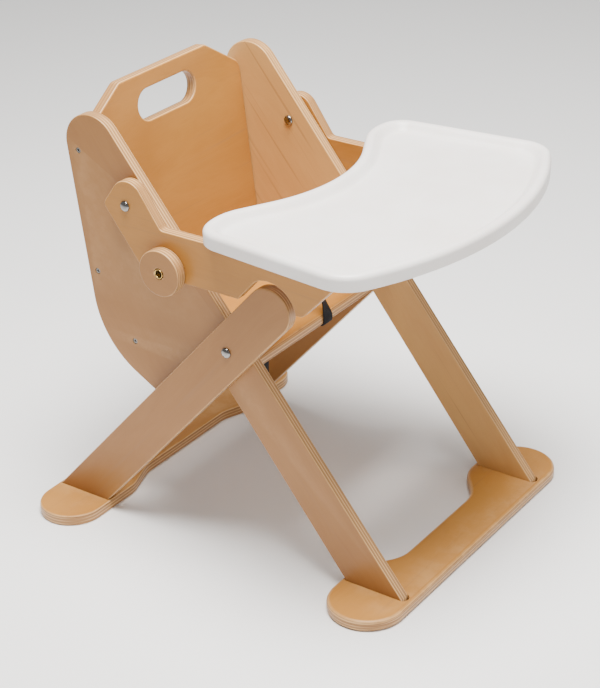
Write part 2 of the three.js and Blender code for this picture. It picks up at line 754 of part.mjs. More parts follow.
// The origin is on the floor, at the middle of the whole chair.
const extent = new THREE.Box3().setFromObject(group);
group.position.set(-(extent.min.x + extent.max.x) / 2, -(extent.min.y + extent.max.y) / 2, -extent.min.z);

export default group;
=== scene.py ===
"""Folding baby high chair in birch plywood with a moulded tray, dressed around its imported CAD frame."""

import math

import bpy
from bpy.props import FloatProperty, FloatVectorProperty, IntProperty, PointerProperty
from mathutils import Matrix, Vector
from mathutils.geometry import tessellate_polygon


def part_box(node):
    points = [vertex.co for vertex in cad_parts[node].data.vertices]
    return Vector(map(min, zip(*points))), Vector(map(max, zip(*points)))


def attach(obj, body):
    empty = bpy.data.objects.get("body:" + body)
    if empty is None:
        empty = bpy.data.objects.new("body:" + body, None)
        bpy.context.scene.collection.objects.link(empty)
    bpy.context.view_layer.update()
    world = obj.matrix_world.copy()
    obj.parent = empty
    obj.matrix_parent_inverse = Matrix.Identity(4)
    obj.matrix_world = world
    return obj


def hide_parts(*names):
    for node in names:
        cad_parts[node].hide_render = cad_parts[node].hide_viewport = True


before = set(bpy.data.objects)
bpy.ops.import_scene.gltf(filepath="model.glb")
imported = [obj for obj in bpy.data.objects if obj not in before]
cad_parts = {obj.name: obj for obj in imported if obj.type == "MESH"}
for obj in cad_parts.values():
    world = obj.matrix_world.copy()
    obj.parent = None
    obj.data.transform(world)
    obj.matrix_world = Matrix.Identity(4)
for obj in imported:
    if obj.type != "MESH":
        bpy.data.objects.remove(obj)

bl_info = {
    "name": "Folding Plywood High Chair",
    "version": (1, 0, 0),
    "blender": (4, 5, 0),
    "location": "3D View > Sidebar > High Chair",
    "description": "Builds the boards, tray, fasteners and webbing of a folding baby high chair",
    "category": "Object",
}

MM = 0.001
BODY = "seat_frame"
LEG_BODY = "rear_leg_frame"
ARM_BODY = "tray_arms"
SIDES = {"left": 1, "right": -1}
ARC_STEP = math.radians(4)
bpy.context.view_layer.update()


def centre_of(node):
    """Middle of a CAD node's box."""
    low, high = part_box(node)
    return (low + high) / 2


def thickness_of(node, axis):
    """Extent of a CAD node along one axis."""
    low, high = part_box(node)
    return high[axis] - low[axis]


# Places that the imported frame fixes.
PLY = thickness_of("side_panel_left", 0)
PANEL_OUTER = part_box("side_panel_left")[1].x
PANEL_INNER = PANEL_OUTER - PLY
LAYER_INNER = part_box("rear_leg_left")[0].x
LAYER_OUTER = LAYER_INNER + PLY
ARM_PIVOT = centre_of("arm_washer_left")
LEG_PIVOT = centre_of("leg_washer_left")
KNOB = centre_of("knob_disc_left")
TRAY_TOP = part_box("tray")[1].z

# Drawn positions: the outlines below are drawn in millimetres from a point on the floor under
# the seat, and SHIFT brings them to the frame's own origin.
SHIFT = ARM_PIVOT.y - 154.3 * MM
SEAT_HEIGHT = 262.0
FOOT_TOP = 15.0
TENON_FOOT = 5.4
LEG_FRONT = (-34.3, SEAT_HEIGHT, 0.798)
LEG_REAR = (42.4, SEAT_HEIGHT, 0.779)
PANEL_REAR = (223.9, SEAT_HEIGHT, 0.132)
REAR_LEG_SLOPE = -0.893
REAR_LEG_HALF = 30.3
REAR_LEG_REACH = 96.0
NOTCH_RADIUS = 39.5
NOTCH_SIDE = 36.5
ARM_TOP = SEAT_HEIGHT + 172
ARM_BOTTOM = SEAT_HEIGHT + 110.3
ARM_NOSE = -162.0
BACK_LEAN = math.radians(6.33)
BACK_FOOT = (205.0, SEAT_HEIGHT + 10)
BACK_HEIGHT = 295.3
BACK_SHOULDER = BACK_HEIGHT - 42.8
BACK_TOP_HALF = 88.0
SEAT_TILT = math.radians(2.97)
SEAT_FRONT = -10.5
SEAT_REAR_GAP = 2.0
GAP = 0.4  # between pieces that touch
HALF_PLY = PLY / MM / 2
PANEL_TOP_RADIUS = 39.5
PANEL_BELLY = (98, SEAT_HEIGHT - 86, 55)
PANEL_HEEL = (SEAT_HEIGHT - 16, 125)
PANEL_CROTCH = (SEAT_HEIGHT - 12, 15)
SLEEVE_BORE, BOLT_BORE, STUD_BORE, SCREW_BORE = 4.9, 3.4, 4.4, 4.0
STUD_DEPTH, SCREW_DEPTH = 12.6, 4.2
FOOT_END = 67.4  # foot board beyond the outer face of its legs
RECESS_FLAT, RECESS_RUN, RECESS_RADIUS = 88, 47, 50
SLOT_PROUD, SLOT_DEPTH = 5, 10
KNOB_RADIUS, KNOB_BORE, KNOB_EDGE = 30, 6.9, 1.6
TRAY_HEIGHT, TRAY_RECESS, TRAY_WALL = 20, 10, 3.5
RAIL_FRONT, RAIL_LENGTH = -132, 124
FLANGE, FLANGE_DROP = 4, 12
DOME_RADIUS, DOME_HEIGHT = 6.8, 3.6


class ChairSizes(bpy.types.PropertyGroup):
    """Sizes of the details that the frame leaves open."""

    edge_radius: FloatProperty(
        name="Edge Radius", description="Rounding of the board edges",
        default=1.5 * MM, min=0.2 * MM, max=4 * MM, unit="LENGTH")
    foot_radius: FloatProperty(
        name="Foot Edge Radius", description="Rounding of the foot boards' edges",
        default=5 * MM, min=0.2 * MM, max=6 * MM, unit="LENGTH")
    ply_layers: IntProperty(
        name="Veneers", description="Number of veneers in a board", default=7, min=3, max=21)
    rim_radius: FloatProperty(
        name="Rim Radius", description="Rounding of the tray's outer top edge",
        default=7 * MM, min=1 * MM, max=9 * MM, unit="LENGTH")
    webbing_width: FloatProperty(
        name="Webbing Width", description="Width of the straps",
        default=20 * MM, min=10 * MM, max=40 * MM, unit="LENGTH")
    webbing_thickness: FloatProperty(
        name="Webbing Thickness", description="Thickness of the straps",
        default=1.7 * MM, min=0.5 * MM, max=3 * MM, unit="LENGTH")


def colour(name, description, default):
    """A colour property with no alpha."""
    return FloatVectorProperty(
        name=name, description=description, default=default, size=3,
        min=0.0, max=1.0, subtype="COLOR")


class ChairFinish(bpy.types.PropertyGroup):
    """Colours of the chair's materials."""

    rose_light: colour("Rose Light", "Pale parts of the rosy boards", (0.36, 0.168, 0.052))
    rose_warm: colour("Rose Warm", "Figured parts of the rosy boards", (0.27, 0.115, 0.032))
    golden_light: colour("Golden Light", "Pale parts of the golden boards", (0.45, 0.205, 0.044))
    golden_warm: colour("Golden Warm", "Figured parts of the golden boards", (0.32, 0.125, 0.020))
    # The pale veneer is the side panels' plywood painted lighter for the far (left) panel: painted light on
    # its lit inner face.
    pale_light: colour("Pale Light", "Pale parts of the palest board", (0.62, 0.35, 0.125))
    pale_warm: colour("Pale Warm", "Figured parts of the palest board", (0.50, 0.25, 0.078))
    edge_light: colour("Edge Light", "Veneers seen along their grain", (0.64, 0.385, 0.17))
    edge_dark: colour("Edge Dark", "Veneers seen on their end grain", (0.30, 0.145, 0.055))
    glue: colour("Glue Line", "Glue between the veneers", (0.07, 0.026, 0.010))
    tray: colour("Tray", "Moulded plastic of the tray", (0.83, 0.80, 0.775))
    # Steel is set darker than zinc plate: painted shade of the screws sitting in their recesses; studs and
    # washers share it.
    steel: colour("Steel", "Zinc-plated screws and washers", (0.26, 0.25, 0.24))
    # Chrome is set far darker than real chrome: painted dark reflections of the room.
    chrome: colour("Chrome", "Domed bolt heads", (0.27, 0.26, 0.25))
    brass: colour("Brass", "Threaded inserts of the knobs", (0.62, 0.42, 0.15))
    webbing: colour("Webbing", "Black woven straps", (0.006, 0.006, 0.007))


# ---- Outlines, in millimetres ----
def y_on(edge, z):
    """Where a slanted edge line stands at height z."""
    return edge[0] + edge[2] * (z - edge[1])


def crossing(a, b):
    """Point where two slanted edge lines meet."""
    z = (b[0] - a[0] + a[2] * a[1] - b[2] * b[1]) / (a[2] - b[2])
    return y_on(a, z), z


def corner_arc(before, here, after, radius):
    """Centre, start (from the centre) and sweep of the arc that rounds a corner."""
    to_before, to_after = (before - here).normalized(), (after - here).normalized()
    half = to_before.angle(to_after) / 2
    centre = here + (to_before + to_after).normalized() * (radius / math.sin(half))
    start = here + to_before * (radius / math.tan(half)) - centre
    end = here + to_after * (radius / math.tan(half)) - centre
    return centre, start, math.atan2(start.cross(end), start.dot(end))


def turned_by(vector, angle):
    """A drawn vector turned counter-clockwise."""
    c, s = math.cos(angle), math.sin(angle)
    return Vector((vector.x * c - vector.y * s, vector.x * s + vector.y * c))


def rounded(corners, steps=None):
    """A closed outline through corners (u, v, radius), each rounded by its own radius."""
    points = []
    for i, (u, v, radius) in enumerate(corners):
        here = Vector((u, v))
        if radius <= 0:
            points.append(here)
            continue
        after = Vector(corners[(i + 1) % len(corners)][:2])
        centre, start, sweep = corner_arc(Vector(corners[i - 1][:2]), here, after, radius)
        count = steps or max(2, math.ceil(abs(sweep) / ARC_STEP))
        points += [centre + turned_by(start, sweep * k / count) for k in range(count + 1)]
    return [p for i, p in enumerate(points) if (p - points[(i + 1) % len(points)]).length > 0.02]


def arc(centre, radius, start, end, steps):
    """Points on an arc."""
    return [Vector((centre[0] + radius * math.cos(start + (end - start) * k / steps),
                    centre[1] + radius * math.sin(start + (end - start) * k / steps)))
            for k in range(steps + 1)]


def circle(centre, radius, count=40):
    """A hole: a full circle, clockwise."""
    return arc(centre, radius, 2 * math.pi, 0, count)[:-1]


def signed_area(loop):
    """Positive where the loop runs counter-clockwise."""
    return sum(p.cross(loop[(i + 1) % len(loop)]) for i, p in enumerate(loop)) / 2


def ordered(loop, hole=False):
    """The loop counter-clockwise, or clockwise for a hole."""
    return list(reversed(loop)) if (signed_area(loop) > 0) == hole else list(loop)


def moved_in(loop, distance):
    """The loop with each point moved into the material, which lies on its left."""
    out = []
    for i, p in enumerate(loop):
        before = (p - loop[i - 1]).normalized()
        after = (loop[(i + 1) % len(loop)] - p).normalized()
        left_before = Vector((-before.y, before.x))
        left_after = Vector((-after.y, after.x))
        mitre = (left_before + left_after) / max(0.35, 1 + left_before.dot(left_after))
        out.append(p + mitre * distance)
    return out


# ---- Meshes ----
class Shell:
    """Collects the points and faces of one closed piece, with a mark for its rounded edges."""

    def __init__(self):
        self.points, self.faces, self.marks = [], [], []

    def ring(self, loop, height, mark=0.0):
        """Adds a loop at a height and returns the numbers of its points."""
        first = len(self.points)
        self.points += [Vector((p.x, p.y, height)) for p in loop]
        self.marks += [mark] * len(loop)
        return list(range(first, first + len(loop)))

    def wall(self, low, high):
        """Faces between two rings, low first, facing away from the material."""
        count = len(low)
        for j in range(count):
            k = (j + 1) % count
            self.faces.append((low[j], low[k], high[k], high[j]))

    def cap(self, rings, up):
        """A flat face over the first ring, less the others."""
        loops = [[self.points[i].copy() for i in ring] for ring in rings]
        numbers = [i for ring in rings for i in ring]
        for tri in tessellate_polygon(loops):
            a, b, c = (self.points[numbers[i]] for i in tri)
            turn = (b - a).cross(c - a).z
            if abs(turn) < 1e-9:
                continue
            face = [numbers[i] for i in tri]
            self.faces.append(tuple(face if (turn > 0) == up else reversed(face)))


def board_shell(outline, thickness, radius, holes=(), pockets=(), steps=4):
    """A board lying flat, its edges rounded, with through holes and pockets (loop, depth) in its top."""
    shell = Shell()
    bottoms, tops = [], []
    for loop in [ordered(outline), *[ordered(h, hole=True) for h in holes]]:
        rings = []
        for k in range(steps + 1):
            a = math.pi / 2 * k / steps
            inner = moved_in(loop, radius * (1 - math.sin(a)))
            rings.append(shell.ring(inner, radius * (1 - math.cos(a)), math.sin(2 * a)))
        for k in range(steps, -1, -1):
            a = math.pi / 2 * k / steps
            inner = moved_in(loop, radius * (1 - math.sin(a)))
            rings.append(shell.ring(inner, thickness - radius * (1 - math.cos(a)), math.sin(2 * a)))
        for low, high in zip(rings, rings[1:]):
            shell.wall(low, high)
        bottoms.append(rings[0])
        tops.append(rings[-1])
    for loop, depth in pockets:
        loop = ordered(loop, hole=True)
        floor = shell.ring(loop, thickness - depth)
        mouth = shell.ring(loop, thickness, 0.5)
        shell.wall(floor, mouth)
        shell.cap([floor], up=True)
        tops.append(mouth)
    shell.cap(bottoms, up=False)
    shell.cap(tops, up=True)
    return shell


def build(name, shell, place, material, smooth=math.radians(40), scale=MM):
    """The shell as an object with its place in its mesh: place takes drawn points to the frame."""
    mesh = bpy.data.meshes.new(name)
    mesh.from_pydata([place @ (p * scale) for p in shell.points], [], shell.faces)
    if place.determinant() < 0:
        mesh.flip_normals()
    mark = mesh.attributes.new("edge_rounding_mark", "FLOAT", "POINT")
    mark.data.foreach_set("value", shell.marks)
    mesh.materials.append(material)
    obj = bpy.data.objects.new(name, mesh)
    bpy.context.scene.collection.objects.link(obj)
    mesh.shade_smooth()
    mesh.set_sharp_from_angle(angle=smooth)
    weighted = obj.modifiers.new("flat_faces", "WEIGHTED_NORMAL")
    weighted.keep_sharp = True
    weighted.weight = 100
    return obj


def give(obj, body, slot, *nodes):
    """The piece rides on a body and stands for its CAD nodes, which it hides; its slot is not used."""
    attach(obj, body)
    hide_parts(*nodes)


def basis(u, v, w, origin):
    """Matrix whose columns are the drawn axes and the drawn origin, in the frame."""
    m = Matrix.Identity(4)
    for i, column in enumerate((u, v, w, origin)):
        m.col[i][:3] = column
    return m


def across(x, side=1):
    """Stands an outline drawn in (y, z) across the chair, its thickness running outwards from x."""
    return basis((0, 1, 0), (0, 0, 1), (side, 0, 0), (side * x, SHIFT, 0))


# ---- Shader groups ----
def node(tree, kind, links=None, **settings):
    """Adds a node; links give its inputs as sockets or values."""
    made = tree.nodes.new(kind)
    for key, value in settings.items():
        setattr(made, key, value)
    for key, value in (links or {}).items():
        if isinstance(value, bpy.types.NodeSocket):
            tree.links.new(value, made.inputs[key])
        else:
            made.inputs[key].default_value = value
    return made


def maths(tree, operation, a, b=0.0, c=0.0, clamp=False):
    """A Math node's result."""
    return node(tree, "ShaderNodeMath", {0: a, 1: b, 2: c}, operation=operation, use_clamp=clamp).outputs[0]


def blend(tree, factor, a, b, kind="RGBA", mode="MIX"):
    """A Mix node's result for colours or vectors."""
    made = tree.nodes.new("ShaderNodeMix")
    made.data_type = kind
    made.blend_type = mode
    slots = {"RGBA": (6, 7, 2), "VECTOR": (4, 5, 1)}[kind]
    for index, value in ((0, factor), (slots[0], a), (slots[1], b)):
        if isinstance(value, bpy.types.NodeSocket):
            tree.links.new(value, made.inputs[index])
        else:
            made.inputs[index].default_value = value
    return made.outputs[slots[2]]


def ramp(tree, value, low, high):
    """0 below low, 1 above high, smooth between."""
    made = node(tree, "ShaderNodeMapRange", {0: value, 1: low, 2: high}, interpolation_type="SMOOTHSTEP")
    return made.outputs[0]


def noise(tree, vector, scale, detail=3.0, rough=0.55, distortion=0.0):
    """Noise between 0 and 1."""
    made = node(tree, "ShaderNodeTexNoise", {
        "Vector": vector, "Scale": scale, "Detail": detail, "Roughness": rough,
        "Distortion": distortion})
    return made.outputs["Fac"]


def stretched(tree, vector, scale, shift=(0, 0, 0)):
    """The vector scaled by its own amount along each axis."""
    made = node(tree, "ShaderNodeMapping", {"Vector": vector, "Location": shift, "Scale": scale})
    return made.outputs[0]


def new_group(name, inputs, outputs):
    """An empty shader group with named sockets."""
    group = bpy.data.node_groups.new(name, "ShaderNodeTree")
    for kind, label, default in inputs:
        socket = group.interface.new_socket(name=label, in_out="INPUT", socket_type=kind)
        if default is not None:
            socket.default_value = default
    for kind, label in outputs:
        group.interface.new_socket(name=label, in_out="OUTPUT", socket_type=kind)
    return group, node(group, "NodeGroupInput").outputs, node(group, "NodeGroupOutput").inputs


def plywood_group():
    """Solid plywood: crossed veneers through the thickness, figure and pores along each one's grain."""
    g, given, out = new_group("plywood", [
        ("NodeSocketVector", "Place", None), ("NodeSocketVector", "Normal", None),
        ("NodeSocketFloat", "Thickness", 0.015), ("NodeSocketFloat", "Veneers", 11.0),
        ("NodeSocketFloat", "Seed", 0.0), ("NodeSocketFloat", "Tone", 0.5),
        ("NodeSocketColor", "Light", (1, 1, 1, 1)), ("NodeSocketColor", "Warm", (1, 1, 1, 1)),
        ("NodeSocketColor", "Edge Light", (1, 1, 1, 1)), ("NodeSocketColor", "Edge Dark", (1, 1, 1, 1)),
        ("NodeSocketColor", "Glue", (0, 0, 0, 1))],
        [("NodeSocketColor", "Colour"), ("NodeSocketFloat", "Figure"), ("NodeSocketFloat", "Height")])
    axes = node(g, "ShaderNodeSeparateXYZ", {0: given["Place"]}).outputs
    facing = node(g, "ShaderNodeSeparateXYZ", {0: given["Normal"]}).outputs
    wobble = noise(g, stretched(g, given["Place"], (9, 9, 0)), 1.0, 1.0)
    depth = maths(g, "ADD", axes[2], maths(g, "MULTIPLY", maths(g, "SUBTRACT", wobble, 0.5), 0.0007))
    layers = maths(g, "MULTIPLY", maths(g, "DIVIDE", depth, given["Thickness"]), given["Veneers"])
    top = maths(g, "SUBTRACT", given["Veneers"], 1.0)
    index = maths(g, "MINIMUM", maths(g, "MAXIMUM", maths(g, "FLOOR", layers), 0.0), top)
    crossed = maths(g, "MODULO", index, 2.0)
    along = maths(g, "ADD", maths(g, "MULTIPLY", axes[0], maths(g, "SUBTRACT", 1.0, crossed)),
                  maths(g, "MULTIPLY", axes[1], crossed))
    side = maths(g, "ADD", maths(g, "MULTIPLY", axes[1], maths(g, "SUBTRACT", 1.0, crossed)),
                 maths(g, "MULTIPLY", axes[0], crossed))
    seed = maths(g, "ADD", maths(g, "MULTIPLY", index, 3.7), given["Seed"])
    grain = node(g, "ShaderNodeCombineXYZ", {0: along, 1: side, 2: seed}).outputs[0]
    broad = noise(g, stretched(g, grain, (2.2, 7.0, 1.0)), 1.0, 3.0, 0.6, 0.6)
    swirl = noise(g, stretched(g, grain, (5.0, 22.0, 1.3)), 1.0, 4.0, 0.6, 1.2)
    bands = maths(g, "FRACT", maths(g, "MULTIPLY", swirl, 5.0))
    rings = maths(g, "ABSOLUTE", maths(g, "SUBTRACT", bands, 0.5))
    fibre = noise(g, stretched(g, grain, (22.0, 900.0, 1.0)), 1.0, 2.0, 0.7)
    pores = ramp(g, noise(g, stretched(g, grain, (260.0, 2300.0, 1.0)), 1.0, 1.0), 0.62, 0.78)
    cells = node(g, "ShaderNodeTexVoronoi", {
        "Vector": stretched(g, grain, (9.0, 22.0, 1.0)), "Scale": 1.0}, voronoi_dimensions="3D")
    rare = maths(g, "GREATER_THAN", node(g, "ShaderNodeSeparateColor", {
        0: cells.outputs["Color"]}).outputs[0], 0.86)
    dot = maths(g, "SUBTRACT", 1.0, ramp(g, cells.outputs["Distance"], 0.02, 0.075))
    speck = maths(g, "MULTIPLY", dot, rare)
    figure = maths(g, "ADD", maths(g, "MULTIPLY", ramp(g, broad, 0.32, 0.70), 0.60),
                   maths(g, "MULTIPLY", rings, 0.26))
    streaks = noise(g, stretched(g, grain, (3.5, 150.0, 1.7)), 1.0, 2.0, 0.5, 0.3)
    figure = maths(g, "ADD", figure, maths(g, "MULTIPLY", maths(g, "SUBTRACT", fibre, 0.5), 0.32))
    figure = maths(g, "ADD", figure, maths(g, "SUBTRACT", given["Tone"], 0.5), clamp=True)
    face = blend(g, figure, given["Light"], given["Warm"])
    face = blend(g, maths(g, "MULTIPLY", ramp(g, streaks, 0.60, 0.76), 0.45), face, given["Edge Dark"])
    face = blend(g, maths(g, "MULTIPLY", pores, 0.25), face, given["Edge Dark"])
    face = blend(g, maths(g, "MULTIPLY", speck, 0.75), face, given["Glue"])
    long_grain = blend(g, maths(g, "MULTIPLY", figure, 0.45), given["Edge Light"], given["Warm"])
    end_cells = noise(g, stretched(g, given["Place"], (1500.0, 1500.0, 1500.0)), 1.0, 2.0)
    end_grain = blend(g, ramp(g, end_cells, 0.35, 0.7), given["Edge Dark"], given["Warm"])
    facing_grain = maths(g, "ADD", maths(g, "MULTIPLY", maths(g, "ABSOLUTE", facing[0]),
                                         maths(g, "SUBTRACT", 1.0, crossed)),
                         maths(g, "MULTIPLY", maths(g, "ABSOLUTE", facing[1]), crossed))
    edge = blend(g, maths(g, "MULTIPLY", ramp(g, facing_grain, 0.15, 0.8), 0.75), long_grain, end_grain)
    part = maths(g, "FRACT", layers)
    near = maths(g, "MINIMUM", part, maths(g, "SUBTRACT", 1.0, part))
    line = maths(g, "SUBTRACT", 1.0, ramp(g, near, 0.04, 0.26))
    joint = node(g, "ShaderNodeTexWhiteNoise", {
        "W": maths(g, "ADD", maths(g, "ROUND", layers), given["Seed"])}, noise_dimensions="1D").outputs[0]
    share = maths(g, "DIVIDE", layers, given["Veneers"])
    from_middle = maths(g, "ABSOLUTE", maths(g, "SUBTRACT", share, 0.5))
    outermost = ramp(g, from_middle, 0.30, 0.36)
    strength = maths(g, "MAXIMUM", outermost, maths(g, "ADD", maths(
        g, "MULTIPLY", maths(g, "MULTIPLY", joint, joint), 0.55), 0.35))
    edge = blend(g, maths(g, "MULTIPLY", maths(g, "MULTIPLY", line, strength), 0.92), edge, given["Glue"])
    on_edge = maths(g, "SUBTRACT", 1.0, ramp(g, maths(g, "ABSOLUTE", facing[2]), 0.55, 0.93))
    colours = blend(g, on_edge, face, edge)
    height = maths(g, "SUBTRACT", maths(g, "MULTIPLY", fibre, 0.5), maths(g, "MULTIPLY", pores, 0.6))
    g.links.new(colours, out["Colour"])
    g.links.new(figure, out["Figure"])
    g.links.new(height, out["Height"])
    return g


def wear_and_highlight_group():
    """Handling wear and painted edge highlight: a painted light line along every marked rounded edge with
    wear patches on it, and faint scuffs elsewhere.
    """
    g, given, out = new_group("handling_wear_and_edge_highlight", [
        ("NodeSocketVector", "Place", None), ("NodeSocketFloat", "Edge", 0.0),
        ("NodeSocketFloat", "Amount", 0.5)],
        [("NodeSocketFloat", "Edge Highlight And Rubbing"), ("NodeSocketFloat", "Scuffs")])
    patches = noise(g, stretched(g, given["Place"], (34, 34, 34)), 1.0, 4.0, 0.65)
    # Painted edge highlight plus wear: the constant 0.35 lightens every marked rounded edge alike, and only
    # the noise patches times Amount are wear.
    highlit_and_rubbed = maths(g, "MULTIPLY", given["Edge"],
                   maths(g, "ADD", maths(g, "MULTIPLY", ramp(g, patches, 0.40, 0.66), given["Amount"]), 0.35))
    fine = noise(g, stretched(g, given["Place"], (60, 420, 160)), 1.0, 3.0, 0.7, 0.8)
    scuffs = maths(g, "MULTIPLY", ramp(g, fine, 0.60, 0.74), given["Amount"])
    g.links.new(highlit_and_rubbed, out["Edge Highlight And Rubbing"])
    g.links.new(scuffs, out["Scuffs"])
    return g


def weave_group():
    """Plain weave from a strap's own map: U across and V along, both in metres."""
    g, given, out = new_group("plain_weave", [
        ("NodeSocketVector", "Map", None), ("NodeSocketFloat", "Threads", 700.0)],
        [("NodeSocketFloat", "Over"), ("NodeSocketFloat", "Height")])
    axes = node(g, "ShaderNodeSeparateXYZ", {0: given["Map"]}).outputs
    turn = maths(g, "MULTIPLY", given["Threads"], math.pi)
    warp = maths(g, "SINE", maths(g, "MULTIPLY", axes[0], turn))
    weft = maths(g, "SINE", maths(g, "MULTIPLY", axes[1], turn))
    over = maths(g, "MULTIPLY", warp, weft)
    height = maths(g, "ADD", maths(g, "MULTIPLY", maths(g, "ABSOLUTE", warp), 0.5),
                   maths(g, "MULTIPLY", over, 0.5))
    g.links.new(ramp(g, over, -0.6, 0.6), out["Over"])
    g.links.new(height, out["Height"])
    return g


def group_node(tree, group, **links):
    """Places a group in a material; underscores in names stand for spaces."""
    made = tree.nodes.new("ShaderNodeGroup")
    made.node_tree = group
    for key, value in links.items():
        label = key.replace("_", " ")
        if isinstance(value, bpy.types.NodeSocket):
            tree.links.new(value, made.inputs[label])
        else:
            made.inputs[label].default_value = value
    return made.outputs


def fresh_material(name, roughness, **constants):
    """A material with a Principled shader whose constants sit on its own sockets."""
    mat = bpy.data.materials.new(name)
    mat.use_nodes = True
    shader = mat.node_tree.nodes["Principled BSDF"]
    shader.inputs["Roughness"].default_value = roughness
    for key, value in constants.items():
        shader.inputs[key.replace("_", " ")].default_value = value
    return mat, mat.node_tree, shader


def bumped(tree, shader, height, distance, strength):
    """Connects a height to the shader's normal."""
    made = node(tree, "ShaderNodeBump", {"Height": height, "Distance": distance, "Strength": strength})
    tree.links.new(made.outputs[0], shader.inputs["Normal"])


def rgba(value):
    """A colour with full opacity."""
    return (*value, 1.0)


def plywood(name, grain, normal, origin, tone=0.5, seed=0.0, wear=0.5, veneer="rose"):
    """Lacquered plywood for one board: its grain and normal directions, and a point on its lower face."""
    finish = bpy.context.scene.chair_finish
    light, warm = getattr(finish, f"{veneer}_light"), getattr(finish, f"{veneer}_warm")
    sizes = bpy.context.scene.chair_sizes
    grain, normal = Vector(grain).normalized(), Vector(normal).normalized()
    turn = Matrix((grain, normal.cross(grain), normal)).transposed().to_euler()
    mat, tree, shader = fresh_material(
        name, 0.38, Coat_Weight=0.05, Coat_Roughness=0.25, Specular_IOR_Level=0.28)
    coords = node(tree, "ShaderNodeTexCoord").outputs
    place = node(tree, "ShaderNodeMapping", {
        "Vector": coords["Object"], "Location": origin, "Rotation": turn}, vector_type="TEXTURE").outputs[0]
    facing = node(tree, "ShaderNodeMapping", {
        "Vector": coords["Normal"], "Rotation": turn}, vector_type="TEXTURE").outputs[0]
    wood = group_node(
        tree, bpy.data.node_groups["plywood"], Place=place, Normal=facing, Thickness=PLY,
        Veneers=float(sizes.ply_layers), Seed=seed, Tone=tone, Light=rgba(light),
        Warm=rgba(warm), Edge_Light=rgba(finish.edge_light),
        Edge_Dark=rgba(finish.edge_dark), Glue=rgba(finish.glue))
    # Mark of the rounded edges, which drives the painted edge highlight and the edge wear.
    edge = node(tree, "ShaderNodeAttribute", attribute_name="edge_rounding_mark").outputs["Fac"]
    worn_and_highlit = group_node(tree, bpy.data.node_groups["handling_wear_and_edge_highlight"], Place=place, Edge=edge, Amount=wear)
    # Marked rounded edges are pulled toward the edge colour: a painted edge highlight, with wear patches on
    # top.
    colours = blend(tree, maths(tree, "MULTIPLY", worn_and_highlit["Edge Highlight And Rubbing"], 0.55), wood["Colour"],
                    rgba(finish.edge_light))
    colours = blend(tree, maths(tree, "MULTIPLY", worn_and_highlit["Scuffs"], 0.10), colours, rgba(finish.edge_dark))
    tree.links.new(colours, shader.inputs["Base Color"])
    rough = maths(tree, "ADD", maths(tree, "MULTIPLY", wood["Figure"], 0.07),
                  maths(tree, "MULTIPLY", worn_and_highlit["Scuffs"], 0.12))
    rough = maths(tree, "ADD", rough, maths(tree, "ADD", maths(tree, "MULTIPLY", worn_and_highlit["Edge Highlight And Rubbing"], 0.12), 0.33))
    tree.links.new(rough, shader.inputs["Roughness"])
    bumped(tree, shader, wood["Height"], 0.00012, 0.5)
    return mat


def tray_plastic():
    """Warm white moulded plastic with a fine skin, faint scratches and a slight mottle."""
    finish = bpy.context.scene.chair_finish
    mat, tree, shader = fresh_material(
        "tray_plastic", 0.36, Subsurface_Weight=0.04, Subsurface_Scale=0.004, Specular_IOR_Level=0.45)
    place = node(tree, "ShaderNodeTexCoord").outputs["Object"]
    mottle = noise(tree, stretched(tree, place, (14, 14, 14)), 1.0, 3.0)
    worn_and_highlit = group_node(tree, bpy.data.node_groups["handling_wear_and_edge_highlight"], Place=place, Edge=0.0, Amount=0.6)
    dull = tuple(c * k for c, k in zip(finish.tray, (0.955, 0.935, 0.92)))
    colours = blend(tree, ramp(tree, mottle, 0.35, 0.7), rgba(finish.tray), rgba(dull))
    cells = node(tree, "ShaderNodeTexVoronoi", {
        "Vector": stretched(tree, place, (16, 16, 3)), "Scale": 1.0}).outputs
    rare = maths(tree, "GREATER_THAN", node(tree, "ShaderNodeSeparateColor", {
        0: cells["Color"]}).outputs[0], 0.93)
    dot = maths(tree, "SUBTRACT", 1.0, ramp(tree, cells["Distance"], 0.008, 0.02))
    mark = maths(tree, "MULTIPLY", dot, rare)
    colours = blend(tree, maths(tree, "MULTIPLY", mark, 0.5), colours, (0.30, 0.27, 0.25, 1))
    tree.links.new(colours, shader.inputs["Base Color"])
    rough = maths(tree, "ADD", maths(tree, "MULTIPLY", mottle, 0.10),
                  maths(tree, "ADD", maths(tree, "MULTIPLY", worn_and_highlit["Scuffs"], 0.14), 0.30))
    tree.links.new(rough, shader.inputs["Roughness"])
    skin = noise(tree, stretched(tree, place, (1400, 1400, 1400)), 1.0, 2.0)
    relief = maths(tree, "ADD", skin, maths(tree, "MULTIPLY", worn_and_highlit["Scuffs"], 0.8))
    bumped(tree, shader, relief, 0.00006, 0.35)
    return mat


def metal(name, tint, roughness, brushing):
    """Plated or turned metal with fine turning marks and dull patches."""
    mat, tree, shader = fresh_material(name, roughness, Metallic=1.0)
    place = node(tree, "ShaderNodeTexCoord").outputs["Object"]
    patches = noise(tree, stretched(tree, place, (260, 260, 260)), 1.0, 3.0)
    marks = noise(tree, stretched(tree, place, (500, 2600, 2600)), 1.0, 2.0)
    dull = tuple(c * 0.72 for c in tint)
    colours = blend(tree, ramp(tree, patches, 0.35, 0.75), rgba(tint), rgba(dull))
    tree.links.new(colours, shader.inputs["Base Color"])
    rough = maths(tree, "ADD", maths(tree, "MULTIPLY", patches, brushing), roughness)
    tree.links.new(rough, shader.inputs["Roughness"])
    bumped(tree, shader, marks, 0.00003, 0.4 * brushing / 0.2)
    return mat


